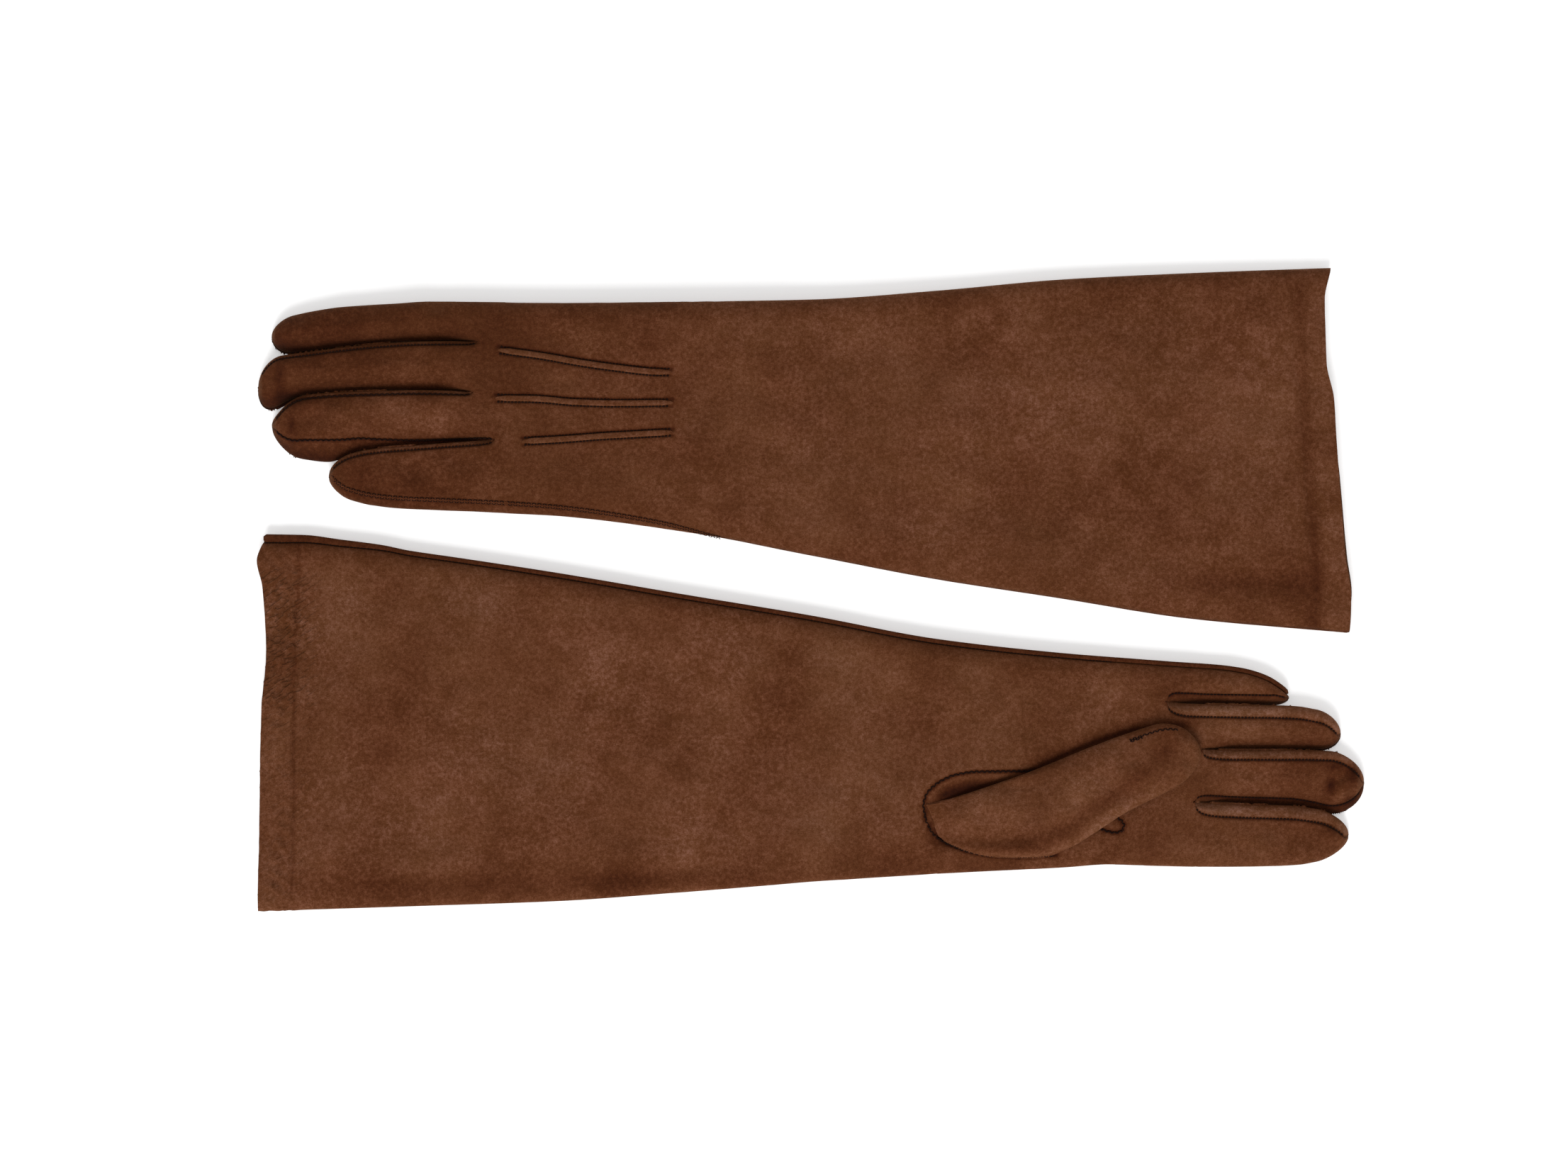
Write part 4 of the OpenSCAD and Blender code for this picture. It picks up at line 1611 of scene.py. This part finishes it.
    def make_thumb(self) -> None:
        """Makes the thumb and the stitches round its hole."""
        side = self.side
        below = self.thumb is None
        rows = []
        for line in self.hole:
            path, up = self.on_face(line, 220, below)
            rows.append(StitchRow(path + up * 0.3, up, self.ZIGZAG))
        sewn = stitches_piece("thumb_hole_stitches", side, rows)
        self.dress(sewn, Slot.THREAD, "thumb_hole_thread")
        self.ride(sewn, "hand")
        if self.thumb is None:
            piece = self.hidden_thumb()
        else:
            piece = leather_piece("thumb", side, [self.thumb.leather()])
        self.dress(piece, Slot.SUEDE, "thumb_top", "thumb_under", "thumb_side")
        self.ride(piece, "thumb")
        if self.thumb is not None:
            ends = ((-5.0, 0.8), (-19.0, 0.775))
            rows = [self.thumb.row(-26.0, end, share, self.ZIGZAG) for end, share in ends]
            sewn = stitches_piece("thumb_stitches", side, rows)
            self.dress(sewn, Slot.THREAD)
            self.ride(sewn, "thumb")

    def hidden_thumb(self) -> bpy.types.Object:
        """Makes the thumb that lies flat under the palm."""
        t = np.linspace(0.0, 1.0, 90)
        path = lerp(self.HIDDEN_ROOT, self.HIDDEN_TIP, t[:, None])
        run = self.HIDDEN_TIP - self.HIDDEN_ROOT
        lean = math.atan2(run[1], run[0])
        across = np.tile([-math.sin(lean), math.cos(lean), 0.0], (len(t), 1))
        full = snub(t - 1.0, 0.11) * snub(-t, 0.12)
        width = (11.0 + 1.6 * np.sin(math.pi * t)) * full + 0.05
        sizes = (width, 1.35 * np.sqrt(full) + 0.02, 0.95, 40)
        return swept_piece("thumb", self.side, path, across, np.tile(UPWARD, (len(t), 1)), *sizes)

    def make_finger(self, plan: FingerPlan) -> None:
        """Makes one finger: its leather, its fourchettes and its stitches."""
        side, name, finger = self.side, plan.name, Finger(self.trank.lie, plan)
        parts, bend = finger.build(), self.bends[plan.name]
        leather = leather_piece(name, side, parts.leather, FINGER_LEATHER)
        self.dress(leather, Slot.SUEDE, f"{name}_back", f"{name}_palm")
        self.bend(leather, "hand", name, *bend)
        for edge, panel in parts.fourchettes.items():
            node = FOURCHETTES[name, edge]
            strip = leather_piece(node, side, [panel], FOURCHETTE_LEATHER)
            self.dress(strip, Slot.SUEDE, node)
            self.bend(strip, "hand", name, *bend)
        rows = []
        for x, line, outer in parts.seams:
            if outer and side is Side.LEFT:
                rows += [finger.row(x, line, self.DOUBLE, at, DOUBLE_LIFT) for at in DOUBLE_ROWS]
            elif outer:
                rows.append(finger.row(x, line, self.STRAIGHT, -OUTER_ROW))
            elif name == "ring" and side is Side.LEFT:
                rows.append(finger.row(x, line, self.ZIGZAG))
            else:
                rows.append(finger.row(x, line, self.STRAIGHT))
        if rows:
            sewn = stitches_piece(f"{name}_stitches", side, rows)
            self.dress(sewn, Slot.THREAD)
            self.bend(sewn, "hand", name, *bend)
        if name == "little":
            strip = self.little_outseam(finger)
            self.dress(strip, Slot.SUEDE)
            self.bend(strip, "hand", name, *bend)

    def little_outseam(self, finger: Finger) -> bpy.types.Object:
        """Makes the outseam's run along the little finger."""
        plan, ends = finger.plan, (1.0, 0.2)
        x = np.linspace(JOIN_X, plan.tip[0] - 0.6, 120)
        line = lambda at: 1.0 - finger.seam_share(at, plan.seam_b, None)
        row = finger.row(x, line, self.STRAIGHT)
        along = unit(np.gradient(row.path, axis=0))
        if self.side is Side.RIGHT:
            flat, out = (np.tile(way, (len(x), 1)) for way in (ACROSS, UPWARD))
            flat = unit(flat - along * (flat * along).sum(axis=1, keepdims=True))
            centre = row.path + flat * 0.7 - out * 0.5
            sizes = (0.95, *self.WELT, ends)
            return swept_piece("little_outseam", self.side, centre, flat, out, *sizes)
        sizes = (*self.CORD_WELT, ends)
        across, centre = np.cross(row.up, along), row.path - row.up * 0.12
        return swept_piece("little_outseam", self.side, centre, across, row.up, *sizes)

    def build(self) -> None:
        """Makes the whole glove."""
        self.make_trank()
        self.make_outseam()
        self.make_tucks()
        self.make_thumb()
        for plan in self.trank.lie.fingers:
            self.make_finger(plan)


# ---------------------------------------------------------------- the two gloves as they lie


RIGHT_HOLE = (
    ((88, -71.1), (73.7, -71.3), (64.3, -71.4), (56, -72.8), (50.2, -75.6), (45.6, -80),
     (44.3, -84.4), (45.2, -90),
     (47.8, -95.5), (53.7, -99.8), (60.8, -102.6), (71.4, -104.6), (85.5, -105), (97, -104.2)),
    ((113, -93), (115.6, -94.5), (119.7, -95.4), (122.7, -94.4), (123.2, -92), (120.9, -89.6),
     (118, -88.4)),
)
LEFT_HOLE = (
    tuple((84 + 38 * math.cos(a), -91.5 + 13 * math.sin(a)) for a in np.linspace(0.0, math.tau, 28)),
)
LEFT_TUCKS = (
    ((122.5, -94.2), (105.5, -91.9), (89.5, -89.1), (76.1, -87.2), (62.7, -85.7), (54.5, -85.4)),
    ((123.5, -75.2), (108.2, -75), (92.1, -73.7), (76.1, -73.3), (54, -73.5)),
    ((113, -58.3), (100.2, -59), (81.4, -60.4), (65.4, -61.3), (54, -61.9)),
)
RIGHT_TUCKS = (
    ((121, -88), (90, -87), (56, -84)),
    ((121, -71), (90, -70), (56, -69.5)),
    ((113, -54), (90, -54.5), (56, -56.5)),
)


RIGHT_HEM_LINE = Line(
    ((-201, 19), (-201.5, 10), (-200.4, 6), (-202.2, 1), (-201.2, -4), (-203, -9), (-202, -15),
     (-203.4, -21),
     (-202.4, -28), (-203.6, -36), (-202.9, -46), (-203.4, -60), (-203, -80), (-203.3, -100),
     (-204, -118)),
    0.8, 0.3, 0.26,
)
# painted shade: soft dark bands inside the left hem, with no depth of their own
LEFT_HEM_LINES = (
    Line(((-191.7, -118), (-192.8, -102), (-194.8, -61.8), (-196.8, -31.5), (-198.8, -6.4),
         (-198.5, 15)),
         2.8, 0.0, 0.22),
    Line(((-199, 3), (-199.6, -10), (-198, -24)), 2.4, 0.0, 0.16),
)


def tuck_lines(tuck: Sequence[tuple[float, float]]) -> list[Line]:
    """The two sewn lines beside a raised tuck; the one away from the light is the deeper, and is
    painted darker as shade.
    """
    rough = np.array(tuck, float)
    along = np.gradient(rough, axis=0)
    along /= np.linalg.norm(along, axis=1, keepdims=True)
    beside = np.stack([-along[:, 1], along[:, 0]], axis=-1) * 1.4
    beside *= np.sign(beside[:, 1:2])
    return [
        Line(tuple(map(tuple, rough - beside)), 0.95, 0.7, 0.6),
        Line(tuple(map(tuple, rough + beside)), 0.45, 0.45, 0.45),
    ]


def right_fingers() -> list[FingerPlan]:
    """The right glove's fingers, palm up."""
    index_middle = ((120, -82.6), (152.4, -83.4), (160.1, -83.9), (173, -84.4), (189.1, -84.9))
    middle_ring = ((120, -62.4), (153.7, -62.7), (166.5, -63), (192.3, -63))
    ring_little = ((120, -43.2), (141.8, -44), (147.3, -44.6), (160.1, -45), (185.9, -45.4))
    return [
        FingerPlan(
            "index",
            Trace((118, -108.2), (128, -108.5), (160.1, -109.1), (179.4, -108.9), (192.3, -108.3),
                  (198.7, -107.2), (206, -105.6)),
            Trace(*index_middle, (198.7, -86.1), (206, -87.4)),
            (212.3, -96.5), 13.0, None, 151.0, None, 131.5, 0.0, 5.2, 8.0, 153.7, 0.84,
            (Fold((202.5, -91.8), (209.0, -94.0), 1.1, -0.8), Fold((208.6, -94.0),
                  (207.0, -99.0), 1.3, -0.7)),
        ),
        FingerPlan(
            "middle",
            Trace(*index_middle, (198.7, -86.4), (204.5, -87.7), (214, -88.6)),
            Trace(*middle_ring, (204.8, -63.3), (214, -64.2)),
            (218.4, -76.0), 15.0, 151.0, 153.7, 131.5, 132.5, 3.0, 3.7, 8.3, 154.7, 0.86,
            (Fold((202.6, -84.5), (203.8, -76.5), 2.0, -1.8), Fold((203.8, -77.5),
                  (213.0, -69.6), 2.1, -1.7),
             Fold((207.0, -81.5), (213.5, -76.5), 2.2, 0.9), Fold((206.5, -87.0),
                  (209.5, -82.5), 1.3, -1.0)),
        ),
        FingerPlan(
            "ring",
            Trace(*middle_ring, (204.8, -63.3), (210, -63.4)),
            Trace(*ring_little, (192.3, -45.8), (198.7, -46.9), (208, -48.6)),
            (209.2, -57.0), 10.0, 153.7, 139.9, 132.5, 124.0, 0.3, 5.0, 8.0, 153.7, 0.9,
        ),
        FingerPlan(
            "little",
            Trace(*ring_little, (191, -45.6)),
            Trace((120, -27.6), (128, -28.2), (144, -29.4), (160.1, -30.5), (169.8, -31.8),
                  (176.2, -33.5), (182.6, -36.3), (190, -40)),
            (188.8, -42.4), 9.0, 139.9, None, 124.0, None, 4.2, 0.5, 7.6, 142.7, 0.92,
        ),
    ]


def left_fingers() -> list[FingerPlan]:
    """The left glove's fingers, back up."""
    index_middle = ((120, -98.6), (131, -97.6), (140.7, -97.8), (155, -97.6), (169.2, -96.8),
                    (183.5, -95.4))
    middle_ring = ((120, -77.0), (132.8, -77.7), (140.7, -78.3), (155, -78.6), (169.2, -78.3),
                   (183.5, -77.9))
    ring_little = ((120, -59.2), (126.4, -58.9), (140.7, -58), (155, -56.9), (169.2, -55.8),
                   (176.4, -54.8))
    return [
        FingerPlan(
            "index",
            Trace((100, -113), (150, -113.5), (163.2, -112.7), (174.4, -112.1), (185.6, -111.3),
                  (196.8, -109.6), (206, -107.6)),
            Trace(*index_middle, (197.8, -94.1), (206, -93.2)),
            (212.5, -99.6), 9.0, None, 131.0, None, 150.6, 0.0, 0.3, 8.2, 153.7, 0.8,
        ),
        FingerPlan(
            "middle",
            Trace(*index_middle, (197.8, -93.6), (206, -92.6), (214, -91.4)),
            Trace(*middle_ring, (197.8, -76.8), (205, -74.8), (211, -71.5), (216, -68.5)),
            (217.9, -78.6), 10.0, 131.0, 132.8, 150.6, 152.0, 1.3, 0.3, 8.6, 154.7, 0.84,
        ),
        FingerPlan(
            "ring",
            Trace(*middle_ring, (197.8, -76.8), (205, -74.6), (211, -71.2)),
            Trace(*ring_little, (183.5, -52.6), (190, -50.9), (199.2, -51.9), (205, -53.3),
            (212, -55.4)),
            (212.4, -65.0), 11.0, 132.8, 124.3, 152.0, 140.5, 1.5,
            Trace((124, 0.8), (140, 1.6), (155, 2.4), (169.2, 3.8), (176, 5.1), (183.5, 6.9),
                  (190, 8.4), (199.2, 7.4),
                  (205, 5.6), (212, 3.2)),
            8.3, 153.7, 0.86,
        ),
        FingerPlan(
            "little",
            Trace(*ring_little, (183.5, -52.9), (191, -51.5)),
            Trace((119.3, -30.1), (133.6, -30.8), (147.8, -31.4), (162.1, -32.1), (172.8, -33.3),
                  (180, -35.1), (191, -38.6)),
            (189.8, -44.6), 9.0, 124.3, None, 140.5, None, 1.7, 4.0, 7.8, 142.7, 0.9,
        ),
    ]


HOLLOW = 3.2  # how deep the leather is sunk inside the right thumb's hole
HOLE_RIM = Trace(
    (44.4, -84), (45.6, -80), (50.2, -75.6), (56, -72.8), (64.3, -71.4), (86.7, -71.1), (98, -71)
)
THUMB_EDGE = Trace(
    (44, -84.5), (57, -80.8), (67.8, -77.8), (78.4, -74.3), (109, -60.8), (128, -54.9), (146, -53)
)


def right_lie() -> Lie:
    """How the right glove lies."""

    def hollow(x: Array, y: Array) -> Array:
        """The sunk wedge between the thumb's hole and the thumb's upper edge."""
        inner = ramp(HOLE_RIM(x) - y, 0.0, 6.5) * ramp(y, -104.0, -96.0)
        return HOLLOW * inner * ramp(x, 43.0, 54.0) * (1.0 - ramp(x, 82.0, 96.0))

    def nap_and_shade(x: Array, y: Array) -> Array:
        """Painted shade inside the thumb's hole, a painted shadow past the thumb's upper edge, and
        patches of worn nap, painted shade and painted highlight.
        """
        # worn nap, with painted shade along the fold edge and in the middle fingertip's creases, and
        # painted highlights on the fingers
        rubbed_and_shaded = Patches((
            (-150.0, -116.0, 55.0, 4.5, 0.28), (-64.0, -113.5, 40.0, 4.5, 0.36),
            (20.0, -105.0, 40.0, 5.0, 0.12),
            (-206.0, -29.0, 12.0, 7.0, 0.22), (-197.0, -64.0, 6.0, 18.0, 0.12),
            (-188.0, 6.0, 18.0, 8.0, -0.04),
            (-130.0, -20.0, 26.0, 10.0, 0.07), (-110.0, -60.0, 34.0, 26.0, -0.06),
            (-20.0, -60.0, 40.0, 20.0, -0.05),
            (-60.0, -30.0, 26.0, 12.0, -0.05), (105.0, -40.0, 24.0, 8.0, -0.06),
            (60.0, -114.0, 40.0, 5.0, 0.1),
            (130.0, -98.0, 16.0, 6.0, 0.06), (180.0, -75.0, 22.0, 5.0, -0.1),
            (178.0, -56.0, 22.0, 4.0, -0.08),
            (206.0, -69.5, 5.0, 1.8, 0.5), (204.5, -77.0, 2.2, 3.6, 0.75),
            (213.5, -72.5, 3.4, 4.0, 0.65),
            (208.0, -81.5, 2.2, 2.2, -0.3), (212.5, -83.0, 3.0, 2.2, 0.55),
            (205.0, -94.0, 2.4, 3.5, 0.35),
            (-83.0, -14.0, 12.0, 6.0, 0.14), (-95.0, -8.0, 22.0, 4.0, -0.1),
            (-164.0, -67.0, 9.0, 7.0, 0.1),
        ))(x, y)
        # painted shade in the sunk wedge inside the thumb's hole
        wedge = hollow(x, y) / HOLLOW
        # painted shadow on the palm just past the thumb's upper edge
        past = y - THUMB_EDGE(x)
        above = np.clip(past, 0.0, None)
        beside = 0.5 * (bell(above, 4.0) + bell(above, 1.3)) * ramp(past, -3.0, 0.0)
        beside = beside * ramp(x, 70.0, 92.0) * (1.0 - ramp(x, 140.0, 156.0))
        return 0.78 * wedge + 0.74 * beside * (1.0 - wedge) + rubbed_and_shaded * (1.0 - wedge)

    return Lie(
        side=Side.RIGHT,
        fold=Trace((-217.6, -127), (-150, -124.7), (-100, -122.9), (-50, -119.3), (0, -115.2),
                   (50, -111.9),
                   (100, -109.4), (118, -108.2), (128, -108.5), (160.1, -109.1), (179.4, -108.9)),
        seam=Trace((-215.6, 19.4), (-200.6, 19.5), (-184.6, 18), (-168.5, 16.4), (-157.8, 14.4),
                   (-138, 11.5),
                   (-100, 5.7), (-50, -2.8), (0, -11.1), (50, -20.4), (100, -26.0), (120, -27.6),
                   (144, -29.4),
                   (160, -30.5), (176, -33.5)),
        hem_x=-216.0,
        hem=Trace((-127, -217.6), (-46.3, -215.7), (-25, -214), (-11.6, -214.5), (1.8, -215.6),
                  (11.4, -217.7),
                  (20, -215)),
        base=Trace((-217, 0.25), (20, 0.4), (42, 0.8), (150, 0.8), (215, 0.4)),
        thick=Trace((-217, 7.2), (-190, 7.8), (-100, 8.4), (0, 8.4), (128, 8.1), (200, 8.1)),
        folds=(
            Fold((-196, -117.5), (-122, -115.5), 5.0, -0.7), Fold((-108, -116),
                 (-16, -107.5), 4.6, -1.0),
            Fold((-5, -108), (40, -104.5), 5.0, -0.5), Fold((-150, -8), (-60, -40), 14.0, 0.5),
            Fold((-203.5, 4), (-205.5, -12), 1.3, 0.35), Fold((-198, -14), (-192, -26), 1.4, 0.35),
        ),
        fingers=right_fingers(),
        steep=1.0,
        crinkle=1.0,
        seed=11,
        dull=0.085,
        lines=(*(Line(hole, 0.85, 0.6, 0.75) for hole in RIGHT_HOLE), RIGHT_HEM_LINE),
        hollow=hollow,
        nap_and_shade=nap_and_shade,
    )


def left_lie() -> Lie:
    """How the left glove lies."""

    # worn nap, with painted shade in the fingertips' creases and painted highlights on the middle and
    # ring fingers
    rubbed_and_shaded = Patches((
        (-193.0, -2.0, 8.0, 10.0, 0.3), (-172.0, -3.0, 28.0, 5.0, 0.3), (-196.0, 12.0, 3.0, 6.0, 0.16),
        (-150.0, -4.0, 14.0, 6.0, 0.1), (-170.0, -60.0, 30.0, 24.0, -0.06),
        (-120.0, -90.0, 36.0, 20.0, -0.05),
        (-100.0, -30.0, 30.0, 22.0, 0.05), (-60.0, -70.0, 40.0, 18.0, -0.05),
        (118.0, -93.0, 18.0, 7.0, 0.12),
        (100.0, -48.0, 20.0, 9.0, 0.06), (88.0, -100.0, 16.0, 7.0, -0.08),
        (130.0, -70.0, 12.0, 5.0, -0.08),
        (170.0, -86.0, 24.0, 4.5, -0.1), (170.0, -69.0, 24.0, 4.5, -0.1),
        (150.0, -45.0, 24.0, 6.0, 0.04),
        (205.0, -75.5, 9.0, 3.6, 0.65), (204.0, -64.0, 1.8, 5.0, 0.45), (208.0, -96.0, 8.0, 1.8, 0.4),
        (208.5, -83.0, 2.4, 6.0, 0.5), (149.0, -67.0, 10.0, 3.5, -0.14),
        (137.0, -86.0, 4.0, 5.0, -0.12),
        (-166.0, -89.0, 9.0, 6.0, 0.1), (-140.0, -20.0, 8.0, 12.0, 0.08),
        (104.0, -83.0, 8.0, 1.6, -0.12),
    ))
    return Lie(
        side=Side.LEFT,
        fold=Trace((-205, -127), (-150, -125), (-100, -122.5), (-50, -118), (0, -114.4), (50, -113.5),
                   (100, -113), (150, -113.5), (163.2, -112.7), (185.6, -111.3)),
        seam=Trace((-213, 17.5), (-150, 11.5), (-100, 3.7), (-50, -4), (0, -13.4), (50, -22.9),
                   (100, -29.1),
                   (119.3, -30.1), (133.6, -30.8), (162.1, -32.1), (175, -33.8)),
        hem_x=-207.0,
        hem=Trace((-126.3, -204.8), (-114.3, -202.2), (-89.3, -202.9), (-75.3, -205.9), (-57.3, -206.9),
                  (-37.3, -208.3), (-12.3, -210.4), (2.7, -212.7), (16.7, -212.4)),
        base=Trace((-217, 0.2), (-60, 1.6), (30, 3.5), (150, 3.5), (180, 2.5), (217, 0.25)),
        thick=Trace((-217, 7.2), (-190, 7.8), (-100, 8.6), (0, 8.8), (60, 8.9), (128, 8.6), (200, 8.2)),
        folds=(
            Fold((-198, -3.5), (-150, -3.0), 5.0, -0.9), Fold((-197, 10), (-193.5, -110), 3.2, -0.5),
            Fold((-190, -119), (-100, -115.5), 3.0, -0.3), Fold((-60, -40), (10, -80), 16.0, 0.4),
            Fold((90, -84), (104, -80), 2.2, -0.3), Fold((112, -81), (122, -90), 2.4, -0.35),
        ),
        fingers=left_fingers(),
        steep=-1.0,
        crinkle=0.15,
        seed=47,
        dull=0.25,
        lines=(*(line for tuck in LEFT_TUCKS for line in tuck_lines(tuck)), *LEFT_HEM_LINES),
        peek=Trace((-127, 0.0), (-62, 0.1), (-45, 1.2), (-10, 1.5), (4, 0.8), (12, 0.0), (18, 0.0)),
        nap_and_shade=rubbed_and_shaded,
    )


@dataclass(frozen=True)
class Studio:
    """The floor, the soft lights and the camera that looks straight down."""

    lens: float = 100.0
    height: float = 1.72
    centre: tuple[float, float] = (-0.0104, 0.0008)
    key: float = 78.0
    fill: float = 4.0
    sky: float = 0.48

    def camera(self) -> None:
        """Makes the camera."""
        data = bpy.data.cameras.new("camera")
        data.lens = self.lens
        data.sensor_width = 36.0
        piece = bpy.data.objects.new("camera", data)
        piece.location = (*self.centre, self.height)
        bpy.context.scene.collection.objects.link(piece)
        bpy.context.scene.camera = piece

    def light(self, name: str, place: tuple[float, float, float], power: float, size: float) -> None:
        """Makes one broad area light that points at the gloves."""
        data = bpy.data.lights.new(name, "AREA")
        data.shape = "SQUARE"
        data.size, data.energy = size, power
        lamp = bpy.data.objects.new(name, data)
        lamp.location = place
        lamp.rotation_euler = (-Vector(place)).to_track_quat("-Z", "Y").to_euler()
        bpy.context.scene.collection.objects.link(lamp)

    def build(self) -> None:
        """Makes the camera, the floor, the lights and the pale surroundings."""
        self.camera()
        bpy.ops.object.select_all(action="DESELECT")
        bpy.ops.mesh.primitive_grid_add(
            x_subdivisions=8, y_subdivisions=8, size=8.0, location=(0, 0, -0.0002)
        )
        floor = bpy.context.object
        floor.name = "floor"
        bpy.ops.object.transform_apply(location=True, rotation=True, scale=True)
        floor.data.materials.append(FloorFinish().build())
        self.light("key", (-0.35, -2.3, 2.4), self.key, 1.5)
        self.light("fill", (0.9, 0.7, 1.6), self.fill, 1.6)
        world = bpy.data.worlds.new("surroundings")
        world.use_nodes = True
        sky = world.node_tree.nodes["Background"]
        sky.inputs["Color"].default_value = (1.0, 1.0, 1.0, 1.0)
        sky.inputs["Strength"].default_value = self.sky
        bpy.context.scene.world = world
        bpy.context.scene.view_settings.view_transform = "Standard"


def main() -> None:
    """Builds the studio and the two gloves, and reports each piece."""
    logging.basicConfig(level=logging.INFO, format="%(name)s: %(message)s")
    Studio().build()
    suede = SuedeFinish(
        "brown_suede",
        dark=(0.084, 0.0245, 0.0065, 1.0),
        plain=(0.127, 0.0415, 0.0175, 1.0),
        light=(0.195, 0.079, 0.046, 1.0),
        olive=(0.1, 0.037, 0.0125, 1.0),
    ).build()
    hem = SuedeFinish(
        "hem_suede",
        dark=(0.10, 0.042, 0.021, 1.0),
        plain=(0.15, 0.066, 0.034, 1.0),
        light=(0.21, 0.10, 0.055, 1.0),
        olive=(0.14, 0.07, 0.035, 1.0),
        nap=0.7,
    ).build()
    thread = ThreadFinish("waxed_thread", (0.012, 0.0045, 0.003, 1.0)).build()
    right = Trank(right_lie(), Trace((0, 0.5), (1, 0.5)))
    left = Trank(left_lie(), Trace((-220, 0.1), (30, 0.1), (37, 0.3), (60, 2.3), (107, 3.7),
                                   (120, 4.0)))
    thumb = ThumbOver(
        right.lie,
        (152.7, -61.9),
        math.radians(18.6),
        Trace((-108.8, 13.2), (-98, 12.2), (-87, 12.0), (-67.6, 12.3), (-42.3, 13.9), (-25, 14.4),
              (0, 14.2)),
        Trace((-108.8, 12.4), (-108.4, 4.0), (-107.6, -1.0), (-102.4, -7.6), (-92.7, -14.1),
              (-80.5, -18.7),
              (-70, -21.4), (-62, -21.2), (-50, -18.6), (-35, -14.8), (-17.5, -12.2), (0, -9.5)),
        Trace((-108.8, 0.2), (-103, 2.4), (-92, 5.4), (-76, 7.0), (-50, 7.0), (-20, 6.6), (0, 6.0)),
        # painted shade along the thumb's trough and upper edge, painted highlights along its lower
        # edge, and worn nap
        Patches((
            (-84.0, 0.12, 22.0, 0.14, 0.26), (-50.0, 0.62, 9.0, 0.2, -0.16),
            (-39.0, 0.28, 11.0, 0.11, 0.34),
            (-26.0, 0.38, 7.0, 0.12, 0.34), (-15.0, 0.52, 5.0, 0.14, 0.3),
            (-62.0, 0.22, 13.0, 0.1, 0.24),
            (-4.0, 0.5, 4.0, 0.4, -0.1), (-60.0, 0.03, 60.0, 0.06, -0.2),
            (-92.0, 0.7, 14.0, 0.3, -0.08),
            (-70.0, 0.96, 34.0, 0.06, 0.16), (-32.0, 0.1, 20.0, 0.07, -0.14),
            (-56.0, 0.42, 12.0, 0.08, -0.1),
        )),
    )
    gloves = [
        Glove(
            right, RIGHT_TUCKS, RIGHT_HOLE, thumb,
            {"index": (152, 165), "middle": (154, 166), "ring": (154, 166), "little": (140.5, 153)},
            {Slot.SUEDE: suede, Slot.HEM: hem, Slot.THREAD: thread},
        ),
        Glove(
            left, LEFT_TUCKS, LEFT_HOLE, None,
            {"index": (146, 161), "middle": (147, 162), "ring": (146, 161), "little": (135, 150)},
            {Slot.SUEDE: suede, Slot.HEM: hem, Slot.THREAD: thread},
        ),
    ]
    for glove in gloves:
        glove.build()


if __name__ == "__main__":
    main()
